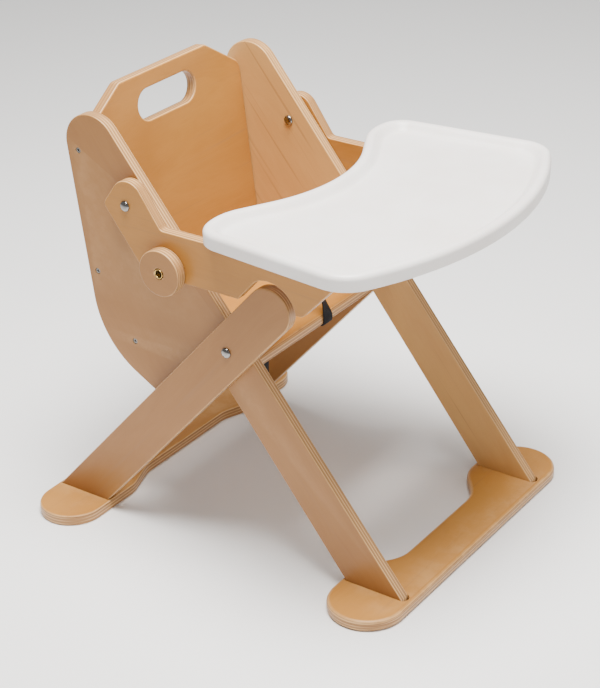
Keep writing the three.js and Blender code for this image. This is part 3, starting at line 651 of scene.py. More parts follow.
def woven_strap():
    """Black webbing with a plain weave."""
    finish = bpy.context.scene.chair_finish
    mat, tree, shader = fresh_material("black_webbing", 0.75, Specular_IOR_Level=0.2)
    breadth = node(tree, "ShaderNodeAttribute", attribute_name="breadth").outputs["Fac"]
    run = node(tree, "ShaderNodeAttribute", attribute_name="run").outputs["Fac"]
    strap_map = node(tree, "ShaderNodeCombineXYZ", {0: breadth, 1: run}).outputs[0]
    weave = group_node(tree, bpy.data.node_groups["plain_weave"], Map=strap_map, Threads=800.0)
    pale = tuple(min(1.0, c * 2) for c in finish.webbing)
    tree.links.new(blend(tree, weave["Over"], rgba(finish.webbing), rgba(pale)), shader.inputs["Base Color"])
    rough = maths(tree, "ADD", maths(tree, "MULTIPLY", weave["Over"], -0.15), 0.8)
    tree.links.new(rough, shader.inputs["Roughness"])
    bumped(tree, shader, weave["Height"], 0.0003, 0.8)
    return mat


# ---- Geometry Nodes: one kind of fastener on every one of its points ----
def fastener_tree():
    """A turned piece placed on each point, its axis along the point's own direction."""
    tree = bpy.data.node_groups.new("fasteners", "GeometryNodeTree")
    tree.is_modifier = True
    made = {}
    for kind, label, way in (
            ("NodeSocketGeometry", "Geometry", "INPUT"), ("NodeSocketObject", "Fastener", "INPUT"),
            ("NodeSocketFloat", "Scale", "INPUT"), ("NodeSocketMaterial", "Material", "INPUT"),
            ("NodeSocketGeometry", "Geometry", "OUTPUT")):
        made[label, way] = tree.interface.new_socket(name=label, in_out=way, socket_type=kind)
    made["Scale", "INPUT"].default_value = 1.0
    given = tree.nodes.new("NodeGroupInput").outputs
    out = tree.nodes.new("NodeGroupOutput").inputs
    axis = node(tree, "GeometryNodeInputNamedAttribute", data_type="FLOAT_VECTOR")
    axis.inputs["Name"].default_value = "axis"
    spin = node(tree, "GeometryNodeInputNamedAttribute", data_type="FLOAT")
    spin.inputs["Name"].default_value = "spin"
    aligned = node(tree, "FunctionNodeAlignRotationToVector", {"Vector": axis.outputs[0]}, axis="Z")
    turned = node(tree, "FunctionNodeRotateRotation", {
        "Rotation": aligned.outputs[0]}, rotation_space="LOCAL")
    about = node(tree, "FunctionNodeAxisAngleToRotation", {"Axis": (0, 0, 1), "Angle": spin.outputs[0]})
    tree.links.new(about.outputs[0], turned.inputs["Rotate By"])
    shape = node(tree, "GeometryNodeObjectInfo", {"Object": given["Fastener"]}, transform_space="ORIGINAL")
    placed = node(tree, "GeometryNodeInstanceOnPoints", {
        "Points": given["Geometry"], "Instance": shape.outputs["Geometry"],
        "Rotation": turned.outputs[0], "Scale": given["Scale"]})
    real = node(tree, "GeometryNodeRealizeInstances", {"Geometry": placed.outputs[0]})
    coated = node(tree, "GeometryNodeSetMaterial", {
        "Geometry": real.outputs[0], "Material": given["Material"]})
    tree.links.new(coated.outputs[0], out["Geometry"])
    return tree


def webbing_tree():
    """A flat band swept along a path, its face turned by the path's own normals."""
    tree = bpy.data.node_groups.new("webbing", "GeometryNodeTree")
    tree.is_modifier = True
    for kind, label, way, default in (
            ("NodeSocketGeometry", "Geometry", "INPUT", None), ("NodeSocketFloat", "Width", "INPUT", 0.02),
            ("NodeSocketFloat", "Thickness", "INPUT", 0.0017),
            ("NodeSocketMaterial", "Material", "INPUT", None),
            ("NodeSocketGeometry", "Geometry", "OUTPUT", None)):
        made = tree.interface.new_socket(name=label, in_out=way, socket_type=kind)
        if default is not None:
            made.default_value = default
    given = tree.nodes.new("NodeGroupInput").outputs
    out = tree.nodes.new("NodeGroupOutput").inputs
    rail = node(tree, "GeometryNodeMeshToCurve", {"Mesh": given["Geometry"]})
    facing = node(tree, "GeometryNodeInputNamedAttribute", data_type="FLOAT_VECTOR")
    facing.inputs["Name"].default_value = "face_normal"
    turned = node(tree, "GeometryNodeSetCurveNormal", {"Curve": rail.outputs[0]}, mode="FREE")
    tree.links.new(facing.outputs[0], turned.inputs["Normal"])
    length = node(tree, "GeometryNodeSplineParameter").outputs["Length"]
    run = node(tree, "GeometryNodeStoreNamedAttribute", {
        "Geometry": turned.outputs[0], "Name": "run"}, data_type="FLOAT", domain="POINT")
    tree.links.new(length, run.inputs["Value"])
    section = node(tree, "GeometryNodeCurvePrimitiveQuadrilateral", {
        "Width": given["Thickness"], "Height": given["Width"]})
    softened = node(tree, "GeometryNodeFilletCurve", {
        "Curve": section.outputs[0], "Radius": maths(tree, "MULTIPLY", given["Thickness"], 0.35)})
    spot = node(tree, "ShaderNodeSeparateXYZ", {0: node(tree, "GeometryNodeInputPosition").outputs[0]})
    breadth = node(tree, "GeometryNodeStoreNamedAttribute", {
        "Geometry": softened.outputs[0], "Name": "breadth"}, data_type="FLOAT", domain="POINT")
    tree.links.new(spot.outputs[1], breadth.inputs["Value"])
    band = node(tree, "GeometryNodeCurveToMesh", {
        "Curve": run.outputs[0], "Profile Curve": breadth.outputs[0], "Fill Caps": True})
    real = node(tree, "GeometryNodeRealizeInstances", {"Geometry": band.outputs[0]})
    coated = node(tree, "GeometryNodeSetMaterial", {
        "Geometry": real.outputs[0], "Material": given["Material"]})
    tree.links.new(coated.outputs[0], out["Geometry"])
    return tree


def socket_id(tree, label):
    """Identifier of a tree's named input."""
    return next(i.identifier for i in tree.interface.items_tree
                if i.in_out == "INPUT" and i.name == label)


def turned_mesh(name, profile, sides=36, recess=None):
    """A turned piece from a profile (height, radius), with a cross recess (arm, width, depth) in its top."""
    shell = Shell()
    rings = []
    for height, radius in profile:
        rings.append(shell.ring(arc((0, 0), radius, 0, 2 * math.pi, sides)[:-1], height))
    for low, high in zip(rings, rings[1:]):
        shell.wall(low, high)
    shell.cap([rings[0]], up=False)
    if recess:
        arm, half, depth = recess
        root = half * 1.25
        cross = [Vector(p) for p in (
            (arm, -half), (arm, half), (root, root), (half, arm), (-half, arm), (-root, root),
            (-arm, half), (-arm, -half), (-root, -root), (-half, -arm), (half, -arm), (root, -root))]
        cross = ordered(cross, hole=True)
        floor = shell.ring([p * 0.7 for p in cross], profile[-1][0] - depth)
        mouth = shell.ring(cross, profile[-1][0])
        shell.wall(floor, mouth)
        shell.cap([floor], up=True)
        shell.cap([rings[-1], mouth], up=True)
    else:
        shell.cap([rings[-1]], up=True)
    mesh = bpy.data.meshes.new(name)
    mesh.from_pydata([p * MM for p in shell.points], [], shell.faces)
    mesh.shade_smooth()
    mesh.set_sharp_from_angle(angle=math.radians(35))
    obj = bpy.data.objects.new(name, mesh)
    bpy.context.scene.collection.objects.link(obj)
    return obj


def fasteners(name, template, places, material, body, slot, nodes):
    """One mesh of like fasteners: places are (point, axis, spin) in the frame."""
    tree = bpy.data.node_groups["fasteners"]
    mesh = bpy.data.meshes.new(name)
    mesh.from_pydata([p for p, _, _ in places], [], [])
    mesh.attributes.new("axis", "FLOAT_VECTOR", "POINT").data.foreach_set(
        "vector", [c for _, a, _ in places for c in a])
    mesh.attributes.new("spin", "FLOAT", "POINT").data.foreach_set("value", [s for _, _, s in places])
    holder = bpy.data.objects.new(name + "_points", mesh)
    bpy.context.scene.collection.objects.link(holder)
    mod = holder.modifiers.new("fasteners", "NODES")
    mod.node_group = tree
    mod[socket_id(tree, "Fastener")] = template
    mod[socket_id(tree, "Scale")] = 1.0
    mod[socket_id(tree, "Material")] = material
    evaluated = holder.evaluated_get(bpy.context.evaluated_depsgraph_get())
    final = bpy.data.meshes.new_from_object(evaluated)
    final.name = name
    obj = bpy.data.objects.new(name, final)
    bpy.context.scene.collection.objects.link(obj)
    bpy.data.objects.remove(holder)
    if not final.polygons:
        raise RuntimeError(f"{name} came out empty")
    give(obj, body, slot, *nodes)
    return obj


def outward(side):
    """The direction away from the middle of the chair."""
    return Vector((side, 0, 0))


# ---- Operators ----
class ChairStep:
    """Common base of the build steps."""

    bl_options = {"REGISTER", "UNDO"}


class HIGHCHAIR_OT_groups(ChairStep, bpy.types.Operator):
    """Builds the shader groups and the fastener tree that the pieces share"""
    bl_idname = "highchair.groups"
    bl_label = "Shared Groups"

    def execute(self, context):
        plywood_group()
        wear_and_highlight_group()
        weave_group()
        fastener_tree()
        webbing_tree()
        return {"FINISHED"}


class HIGHCHAIR_OT_side_panels(ChairStep, bpy.types.Operator):
    """Cuts the two side panels, each the side of the seat and a front leg in one board"""
    bl_idname = "highchair.side_panels"
    bl_label = "Side Panels"

    def execute(self, context):
        heel_z, heel_radius = PANEL_HEEL
        crotch_z, crotch_radius = PANEL_CROTCH
        front, rear = y_on(LEG_FRONT, FOOT_TOP), y_on(LEG_REAR, FOOT_TOP)
        top_y, top_z = crossing(LEG_FRONT, PANEL_REAR)
        outline = rounded([
            (front, TENON_FOOT, 0), (rear, TENON_FOOT, 0), (rear, FOOT_TOP, 0),
            (y_on(LEG_REAR, crotch_z), crotch_z, crotch_radius), PANEL_BELLY,
            (y_on(PANEL_REAR, heel_z), heel_z, heel_radius), (top_y, top_z, PANEL_TOP_RADIUS),
            (front, FOOT_TOP, 0)])
        shift = Vector((SHIFT / MM, 0))
        pivots = [Vector((p.y, p.z)) / MM - shift for p in (ARM_PIVOT, LEG_PIVOT)]
        holes = [circle(p, SLEEVE_BORE) for p in pivots]
        pockets = [(circle(Vector((KNOB.y, KNOB.z)) / MM - shift, STUD_BORE), STUD_DEPTH)]
        for screw in ("back_upper", "back_lower", "seat_rear", "seat_front"):
            spot = centre_of(f"{screw}_screw_left")
            pockets.append((circle(Vector((spot.y, spot.z)) / MM - shift, SCREW_BORE, 28), SCREW_DEPTH))
        for name, side in SIDES.items():
            # Both side panels are one plywood; the far (left) panel takes the pale veneer as painted light on
            # its lit inner face, the near one the plain rose.
            mat = plywood(f"birch_panel_{name}", (0, 0.62, 0.78), (side, 0, 0), (side * PANEL_INNER, 0, 0),
                          tone=0.40, seed=3.1 + side, veneer="pale" if side > 0 else "rose")
            shell = board_shell(outline, PLY / MM, context.scene.chair_sizes.edge_radius / MM, holes, pockets)
            obj = build(f"panel_board_{name}", shell, across(PANEL_INNER, side), mat)
            give(obj, BODY, "birch_plywood", f"side_panel_{name}")
        return {"FINISHED"}


class HIGHCHAIR_OT_back(ChairStep, bpy.types.Operator):
    """Cuts the leaning back panel with its hand hole"""
    bl_idname = "highchair.back"
    bl_label = "Back Panel"

    def execute(self, context):
        half, height, shoulder = PANEL_INNER / MM - GAP, BACK_HEIGHT, BACK_SHOULDER
        outline = rounded([
            (-half, 0, 2), (half, 0, 2), (half, shoulder, 18), (BACK_TOP_HALF, height, 14),
            (-BACK_TOP_HALF, height, 14), (-half, shoulder, 18)])
        middle, reach, rise = height - 43, 58, 20.7
        hole = rounded([(-reach, middle - rise, rise), (reach, middle - rise, rise),
                        (reach, middle + rise, rise), (-reach, middle + rise, rise)])
        up = Vector((0, math.sin(BACK_LEAN), math.cos(BACK_LEAN)))
        out = Vector((0, math.cos(BACK_LEAN), -math.sin(BACK_LEAN)))
        foot = Vector((0, BACK_FOOT[0] * MM + SHIFT, BACK_FOOT[1] * MM))
        mat = plywood("birch_back", (1, 0, 0), out, foot, tone=0.70, seed=11.0, veneer="golden")
        shell = board_shell(outline, PLY / MM, context.scene.chair_sizes.edge_radius / MM * 1.6, [hole])
        obj = build("back_board", shell, basis((-1, 0, 0), up, out, foot), mat)
        give(obj, BODY, "birch_plywood", "back_panel")
        return {"FINISHED"}


class HIGHCHAIR_OT_seat(ChairStep, bpy.types.Operator):
    """Shapes the seat board with its rounded front edge"""
    bl_idname = "highchair.seat"
    bl_label = "Seat Board"

    def execute(self, context):
        half = PANEL_INNER / MM - GAP
        length = (BACK_FOOT[0] - SEAT_FRONT) / math.cos(SEAT_TILT) - SEAT_REAR_GAP
        outline = rounded([
            (0, -HALF_PLY, 4), (length, -HALF_PLY, 1.5), (length, HALF_PLY, 1.5), (0, HALF_PLY, 7)])
        back = Vector((0, math.cos(SEAT_TILT), -math.sin(SEAT_TILT)))
        up = Vector((0, math.sin(SEAT_TILT), math.cos(SEAT_TILT)))
        nose = Vector((-half * MM, SEAT_FRONT * MM + SHIFT, (SEAT_HEIGHT + HALF_PLY) * MM))
        mat = plywood("birch_seat", (1, 0, 0), up, nose - up * PLY / 2, tone=0.65, seed=17.0, veneer="golden")
        shell = board_shell(outline, 2 * half, 0.5)
        obj = build("seat_wood", shell, basis(back, up, (1, 0, 0), nose), mat)
        give(obj, BODY, "birch_plywood", "seat_board")
        return {"FINISHED"}


class HIGHCHAIR_OT_foot_boards(ChairStep, bpy.types.Operator):
    """Cuts the front and rear foot boards, with the routed slots that take the legs"""
    bl_idname = "highchair.foot_boards"
    bl_label = "Foot Boards"

    def foot(self, name, span, margins, inward, legs, body, tone):
        """Cuts one foot board around the legs that stand in it."""
        outer = span[0] - margins[0] if inward > 0 else span[1] + margins[1]
        inner = span[1] + margins[1] if inward > 0 else span[0] - margins[0]
        end, half, recess = abs(outer - inner) / 2, legs[1] + FOOT_END, inner - inward * margins[2]
        mouth = RECESS_FLAT + RECESS_RUN
        outline = rounded([
            (-half, outer, end), (half, outer, end), (half, inner, end),
            (mouth, inner, RECESS_RADIUS), (RECESS_FLAT, recess, RECESS_RADIUS),
            (-RECESS_FLAT, recess, RECESS_RADIUS), (-mouth, inner, RECESS_RADIUS), (-half, inner, end)])
        radius = min(bpy.context.scene.chair_sizes.foot_radius / MM, min(margins[:2]) - 1)
        slots = []
        for side in (1, -1):
            half_slot, middle = (legs[1] - legs[0]) / 2 + GAP, side * (legs[0] + legs[1]) / 2
            loop = []
            for way, leg_end, margin in ((-1, span[0], margins[0]), (1, span[1], margins[1])):
                proud = min(SLOT_PROUD, margin - radius - GAP - 0.1)
                bulge = (half_slot ** 2 + proud ** 2) / (2 * proud)
                wide = math.asin(half_slot / bulge)
                centre = (middle, leg_end + way * (GAP + proud - bulge))
                loop += arc(centre, bulge, way * math.pi / 2 - wide, way * math.pi / 2 + wide, 12)
            slots.append((loop, SLOT_DEPTH))
        mat = plywood(f"birch_{name}", (1, 0, 0), (0, 0, 1), (0, 0, 0), tone=tone, seed=span[0] % 7,
                      wear=0.9, veneer="golden")
        shell = board_shell(outline, PLY / MM, radius, pockets=slots, steps=5)
        obj = build(f"{name}_wood", shell, basis((1, 0, 0), (0, 1, 0), (0, 0, 1), (0, SHIFT, 0)), mat)
        give(obj, body, "birch_plywood", name)

    def execute(self, context):
        front = (y_on(LEG_FRONT, FOOT_TOP), y_on(LEG_REAR, FOOT_TOP))
        self.foot("front_foot_board", front, (12, 7, 37), 1, (PANEL_INNER / MM, PANEL_OUTER / MM), BODY, 0.24)
        middle, run = rear_leg_line(FOOT_TOP), rear_leg_run()
        self.foot("rear_foot_board", (middle - run, middle + run), (3.4, 3.4, 17), -1,
                  (LAYER_INNER / MM, LAYER_OUTER / MM), LEG_BODY, 0.26)
        return {"FINISHED"}


def rear_leg_line(z):
    """Drawn y of the rear leg's middle line at height z."""
    pivot = (LEG_PIVOT.y - SHIFT) / MM
    return pivot + (z - LEG_PIVOT.z / MM) * REAR_LEG_SLOPE


def rear_leg_angle():
    """Lean of the rear legs in the drawn plane."""
    return math.atan2(1, REAR_LEG_SLOPE)


def rear_leg_run():
    """Half the rear leg's width, measured level."""
    return REAR_LEG_HALF / math.sin(rear_leg_angle())


def rear_leg_top():
    """Centre of the rear leg's round top, drawn."""
    a = rear_leg_angle()
    pivot = Vector(((LEG_PIVOT.y - SHIFT) / MM, LEG_PIVOT.z / MM))
    return pivot + REAR_LEG_REACH * Vector((math.cos(a), math.sin(a)))


class HIGHCHAIR_OT_rear_legs(ChairStep, bpy.types.Operator):
    """Cuts the two rear legs with their round tops"""
    bl_idname = "highchair.rear_legs"
    bl_label = "Rear Legs"

    def execute(self, context):
        a, top, foot, run = rear_leg_angle(), rear_leg_top(), rear_leg_line(FOOT_TOP), rear_leg_run()
        outline = [Vector(p) for p in (
            (foot - run, FOOT_TOP), (foot - run, TENON_FOOT),
            (foot + run, TENON_FOOT), (foot + run, FOOT_TOP))]
        outline += arc(top, REAR_LEG_HALF, a - math.pi / 2, a + math.pi / 2, 45)
        bore = circle(((LEG_PIVOT.y - SHIFT) / MM, LEG_PIVOT.z / MM), BOLT_BORE, 28)
        for name, side in SIDES.items():
            mat = plywood(f"birch_leg_{name}", (0, math.cos(a), math.sin(a)), (side, 0, 0),
                          (side * LAYER_INNER, 0, 0), tone=0.40, seed=23.0 + side)
            shell = board_shell(outline, PLY / MM, context.scene.chair_sizes.edge_radius / MM, [bore])
            obj = build(f"leg_board_{name}", shell, across(LAYER_INNER, side), mat)
            give(obj, LEG_BODY, "birch_plywood", f"rear_leg_{name}")
        return {"FINISHED"}


class HIGHCHAIR_OT_armrests(ChairStep, bpy.types.Operator):
    """Cuts the two armrests, each with the notch for its leg and the slot for its knob's stud"""
    bl_idname = "highchair.armrests"
    bl_label = "Armrests"

    def lower_edge(self, pivot, knob):
        """Points along the underside from front to rear: the leg notch, then the stud slot."""
        top, a = rear_leg_top(), rear_leg_angle()
        axis, level = Vector((math.cos(a), math.sin(a))), Vector((math.sin(a), -math.cos(a)))
        front_run = math.sqrt(NOTCH_RADIUS ** 2 - (ARM_BOTTOM - top.y) ** 2)
        start = math.atan2(ARM_BOTTOM - top.y, -front_run)
        meets = a - math.asin(NOTCH_SIDE / NOTCH_RADIUS)
        points = arc(top, NOTCH_RADIUS, start, meets + 0.16, 40)
        kink = top + Vector((math.cos(meets), math.sin(meets))) * NOTCH_RADIUS
        before, after = points[-1], kink - axis * 6
        points += [before.lerp(kink, t).lerp(kink.lerp(after, t), t) for t in (0.25, 0.5, 0.75, 1.0)]
        side_foot = top + level * NOTCH_SIDE
        points.append(side_foot + axis * ((ARM_BOTTOM - side_foot.y) / axis.y))
        reach, angle = (knob - pivot).length, math.atan2((knob - pivot).y, (knob - pivot).x)
        slot = STUD_BORE
        inner, outer = reach - slot, reach + slot
        ends = [math.asin((ARM_BOTTOM - pivot.y) / r) for r in (outer, inner)]
        turn = [math.pi - e - 2 * math.pi for e in ends]
        points += arc(pivot, outer, turn[0], angle, 10)
        points += arc(knob, slot, angle, angle - math.pi, 14)[1:-1]
        points += arc(pivot, inner, angle, turn[1], 10)
        return points

    def execute(self, context):
        pivot = Vector(((ARM_PIVOT.y - SHIFT) / MM, ARM_PIVOT.z / MM))
        knob = Vector(((KNOB.y - SHIFT) / MM, KNOB.z / MM))
        rear = (185.1, pivot.y - 9.7, 0.754)
        head_rear = (165, pivot.y + 30.7, -0.7167)
        head_front = (132.3, pivot.y + 24.3, 0.685)
        nose = (ARM_NOSE, ARM_TOP, -0.95)
        ring = rounded([
            (y_on(rear, ARM_BOTTOM), ARM_BOTTOM, 14), (*crossing(rear, head_rear), 9),
            (*crossing(head_rear, head_front), 24.5), (y_on(head_front, ARM_TOP), ARM_TOP, 8),
            (ARM_NOSE, ARM_TOP, 5), (y_on(nose, ARM_BOTTOM), ARM_BOTTOM, 9)])
        outline = ring + self.lower_edge(pivot, knob)
        bore = circle(pivot, BOLT_BORE, 28)
        for name, side in SIDES.items():
            mat = plywood(f"birch_arm_{name}", (0, 1, 0.04), (side, 0, 0), (side * LAYER_INNER, 0, 0),
                          tone=0.55, seed=31.0 + side, veneer="golden")
            shell = board_shell(outline, PLY / MM, context.scene.chair_sizes.edge_radius / MM, [bore])
            obj = build(f"arm_board_{name}", shell, across(LAYER_INNER, side), mat)
            give(obj, ARM_BODY, "birch_plywood", f"armrest_{name}")
        return {"FINISHED"}


class HIGHCHAIR_OT_knobs(ChairStep, bpy.types.Operator):
    """Turns the plywood knob discs with their brass inserts, and the studs they run on"""
    bl_idname = "highchair.knobs"
    bl_label = "Knobs"

    def execute(self, context):
        finish = context.scene.chair_finish
        brass = metal("turned_brass", tuple(finish.brass), 0.22, 0.2)
        steel = metal("stud_steel", tuple(finish.steel), 0.3, 0.2)
        start = LAYER_OUTER + GAP * MM
        for name, side in SIDES.items():
            mat = plywood(f"birch_knob_{name}", (0, 0.9, 0.4), (side, 0, 0), (side * start, 0, 0),
                          tone=0.28, seed=41.0 + side, wear=0.8)
            spot = Vector(((KNOB.y - SHIFT) / MM, KNOB.z / MM))
            bore = circle(spot, KNOB_BORE, 48)
            shell = board_shell(circle(spot, KNOB_RADIUS, 96), PLY / MM, KNOB_EDGE, [bore])
            disc = build(f"knob_wood_{name}", shell, across(start, side), mat)
            give(disc, f"knob_{name}", "birch_plywood", f"knob_disc_{name}")
            self.tube(name, side, start, brass)
        places = [((side * (PANEL_INNER + 2.4 * MM), KNOB.y, KNOB.z), outward(side), 0.0)
                  for side in SIDES.values()]
        stud = turned_mesh("stud_template", [(0, 3.6), (0.4, 4), (37, 4), (38, 3.2)], 32,
                           recess=(2.2, 0.5, 1.2))
        fasteners("knob_studs", stud, places, steel, BODY, "zinc_steel",
                  ["knob_stud_left", "knob_stud_right"])
        bpy.data.objects.remove(stud)
        return {"FINISHED"}

    def tube(self, name, side, start, brass):
        """The insert: a ring with a rolled lip round the stud."""
        profile = [(0.4, 4.5), (0.4, 6.4), (14.6, 6.4), (15.35, 6.0), (15.5, 5.5), (15.2, 4.9), (14.3, 4.5)]
        shell = Shell()
        rings = [shell.ring(arc((0, 0), r, 0, 2 * math.pi, 48)[:-1], h) for h, r in profile]
        for low, high in zip(rings, rings[1:] + rings[:1]):
            shell.wall(low, high)
        place = basis((0, 1, 0), (0, 0, 1), (side, 0, 0), (side * start, KNOB.y, KNOB.z))
        obj = build(f"knob_brass_{name}", shell, place, brass)
        give(obj, f"knob_{name}", "brass", f"knob_insert_{name}")


class HIGHCHAIR_OT_tray(ChairStep, bpy.types.Operator):
    """Moulds the tray: a thin shell with a soft rim, a shallow recess and two rails underneath"""
    bl_idname = "highchair.tray"
    bl_label = "Tray"

    corners = [(0, -323, 437), (242, -196, 47), (219, 25, 37), (162, 32.6, 78), (0, -53.3, 219)]

    def outline(self, inset):
        """The tray's outline with every edge moved inwards and its roundings kept parallel."""
        mirrored = [(-x, y, r) for x, y, r in reversed(self.corners[1:4])]
        half = [self.corners[0], *self.corners[1:4], self.corners[4], *mirrored]
        count = len(half)
        edges = []
        for i, (u, v, _) in enumerate(half):
            after = half[(i + 1) % count]
            along = Vector((after[0] - u, after[1] - v)).normalized()
            edges.append((along, Vector((u, v)) + Vector((-along.y, along.x)) * inset))
        made = []
        for i, (along, start) in enumerate(edges):
            before, origin = edges[i - 1]
            turn = before.cross(along)
            corner = origin + before * ((start - origin).cross(along) / turn)
            made.append((corner.x, corner.y, half[i][2] - math.copysign(inset, turn)))
        steps = [40, 18, 14, 14, 36, 14, 14, 18]
        points = []
        for i, corner in enumerate(made):
            before, here, after = (Vector(c[:2]) for c in (made[i - 1], corner, made[(i + 1) % count]))
            centre, start, sweep = corner_arc(before, here, after, corner[2])
            points += [centre + turned_by(start, sweep * k / steps[i]) for k in range(steps[i] + 1)]
        return points

    def execute(self, context):
        top = TRAY_TOP / MM
        low, radius = top - TRAY_HEIGHT, context.scene.chair_sizes.rim_radius / MM
        floor, wall = top - TRAY_RECESS, TRAY_WALL
        profile = [(9, floor - wall), (5.5, floor - wall), (4.1, floor - wall - 0.4),
                   (wall, floor - wall - 1.6),
                   (wall - 0.2, low + 0.7), (wall - 0.6, low + 0.1), (wall - 1.2, low), (1.2, low),
                   (0.5, low + 0.15), (0.1, low + 0.9)]
        profile += [(0, low + (top - radius - low) * t) for t in (0.2, 0.6, 0.9)]
        profile += [(radius * (1 - math.cos(a)), top - radius * (1 - math.sin(a)))
                    for a in (math.pi / 2 * k / 10 for k in range(11))]
        profile.append((radius + 1.5, top))
        soft_start, soft_end = radius + 2.5, 23.5
        for k in range(13):
            t = k / 12
            drop = (floor - top) * (0.5 - 0.5 * math.cos(math.pi * t))
            profile.append((soft_start + (soft_end - soft_start) * t, top + drop))
        profile.append((soft_end + 0.8, floor))
        shell = Shell()
        rings = [shell.ring(self.outline(inset), z) for inset, z in profile]
        for lower, upper in zip(rings, rings[1:]):
            shell.wall(lower, upper)
        shell.cap([rings[0]], up=False)
        shell.cap([rings[-1]], up=True)
        plastic = tray_plastic()
        place = basis((1, 0, 0), (0, 1, 0), (0, 0, 1), (0, SHIFT, 0))
        obj = build("tray_shell", shell, place, plastic, smooth=math.radians(50))
        give(obj, ARM_BODY, "white_plastic", "tray")
        inner, outer, under = LAYER_INNER / MM, LAYER_OUTER / MM, floor - wall - 0.05
        lowest = ARM_TOP + GAP - FLANGE_DROP
        section = rounded([
            (inner - GAP - FLANGE, lowest, 1), (inner - GAP, lowest, 1), (inner - GAP, ARM_TOP + GAP, 0),
            (outer + FLANGE, ARM_TOP + GAP, 1), (outer + FLANGE, under, 0),
            (inner - GAP - FLANGE, under, 0)], 4)
        for name, side in SIDES.items():
            rail = board_shell(section, RAIL_LENGTH, 0.8)
            place = basis((side, 0, 0), (0, 0, 1), (0, 1, 0), (0, RAIL_FRONT * MM + SHIFT, 0))
            piece = build(f"tray_rail_{name}", rail, place, plastic)
            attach(piece, ARM_BODY)
        return {"FINISHED"}


class HIGHCHAIR_OT_bolts(ChairStep, bpy.types.Operator):
    """Sets the domed pivot bolts, their sleeve nuts and the washers between the boards"""
    bl_idname = "highchair.bolts"
    bl_label = "Pivot Bolts"

    def execute(self, context):
        finish = context.scene.chair_finish
        # Chrome material whose colour is darkened as painted dark reflections of the room.
        chrome = metal("chrome_with_painted_dark_reflections", tuple(finish.chrome), 0.10, 0.10)
        steel = metal("washer_steel", tuple(finish.steel), 0.32, 0.2)
        rim = 0.35
        dome = [(0.0, DOME_RADIUS)] + [
            (rim + (DOME_HEIGHT - rim) * math.sin(a), DOME_RADIUS * math.cos(a) * 0.99)
            for a in (math.pi / 2 * k / 12 for k in range(12))]
        dome.append((DOME_HEIGHT, 0.5))
        bolt = turned_mesh("bolt_template", [(-29.2, 2.6), (-28.8, 3), (-0.01, 3)] + dome, 40)
        nut = turned_mesh("nut_template", [(-11, 4.5), (-0.01, 4.5)] + dome, 40)
        washer = turned_mesh("washer_template", [(0, 8.9), (0.1, 9), (0.3, 9), (0.4, 8.9)], 40)
        pivots = {"arm": ARM_PIVOT, "leg": LEG_PIVOT}
        spots = [(p, s) for p in pivots.values() for s in SIDES.values()]
        names = [f"{p}_{{}}_{s}" for p in pivots for s in SIDES]
        for label, shape, x, way, material, slot, node_name in (
                ("bolt_heads", bolt, LAYER_OUTER + GAP * MM, 1, chrome, "chrome", "pivot_bolt"),
                ("sleeve_nuts", nut, PANEL_INNER - GAP * MM, -1, chrome, "chrome", "sleeve_nut"),
                ("pivot_washers", washer, PANEL_OUTER + GAP * MM, 1, steel, "zinc_steel", "washer")):
            places = [((s * x, p.y, p.z), outward(s * way), 0.3 * i) for i, (p, s) in enumerate(spots)]
            fasteners(label, shape, places, material, BODY, slot, [n.format(node_name) for n in names])
            bpy.data.objects.remove(shape)
        return {"FINISHED"}


class HIGHCHAIR_OT_screws(ChairStep, bpy.types.Operator):
    """Sinks the side screws and the foot screws, and sets the small screws under the tray"""
    bl_idname = "highchair.screws"
    bl_label = "Screws"

    def execute(self, context):
        # The steel colour carries painted shade of the screw recesses.
        steel = metal("zinc_screw", tuple(context.scene.chair_finish.steel), 0.30, 0.22)
        sunk = turned_mesh("sunk_template", [
            (-42, 0.4), (-38, 2.5), (-3, 2.5), (-3, 3.3), (-2.7, 3.6), (-0.3, 3.6), (0, 3.3)], 32,
            recess=(2.3, 0.55, 1.5))
        short = turned_mesh("foot_template", [
            (-36, 0.4), (-32, 2.5), (-2, 2.5), (-2, 3.4), (-0.2, 3.6), (0, 3.4)], 28, recess=(2.2, 0.55, 1.2))
        pan = turned_mesh("pan_template", [
            (-13, 0.4), (-11, 2), (0, 2), (0, 4), (0.8, 3.8), (1.6, 3.0), (2.1, 2.2)], 28,
            recess=(1.6, 0.45, 1.0))
        sides = [(f"{n}_screw_{s}", k) for n in ("back_upper", "back_lower", "seat_rear", "seat_front")
                 for s, k in SIDES.items()]
        places = []
        for i, (name, side) in enumerate(sides):
            spot = centre_of(name)
            places.append(((side * (PANEL_OUTER - 0.8 * MM), spot.y, spot.z), outward(side), 0.9 * i))
        fasteners("side_screws", sunk, places, steel, BODY, "zinc_steel", [n for n, _ in sides])
        for end, body in (("front", BODY), ("rear", LEG_BODY)):
            names = [f"{end}_foot_screw_{i}_{s}" for i in (1, 2) for s in SIDES]
            places = [((*centre_of(n)[:2], 0.8 * MM), Vector((0, 0, -1)), 0.7 * i)
                      for i, n in enumerate(names)]
            fasteners(f"{end}_foot_screws", short, places, steel, body, "zinc_steel", names)
        names = [(f"tray_screw_{i}_{s}", k) for i in (1, 2) for s, k in SIDES.items()]
        places = []
        for i, (name, side) in enumerate(names):
            spot = centre_of(name)
            places.append(((side * (LAYER_INNER - 4.8 * MM), spot.y, spot.z), outward(-side), 0.5 * i))
        fasteners("tray_screws", pan, places, steel, ARM_BODY, "zinc_steel", [n for n, _ in names])
        for template in (sunk, short, pan):
            bpy.data.objects.remove(template)
        return {"FINISHED"}


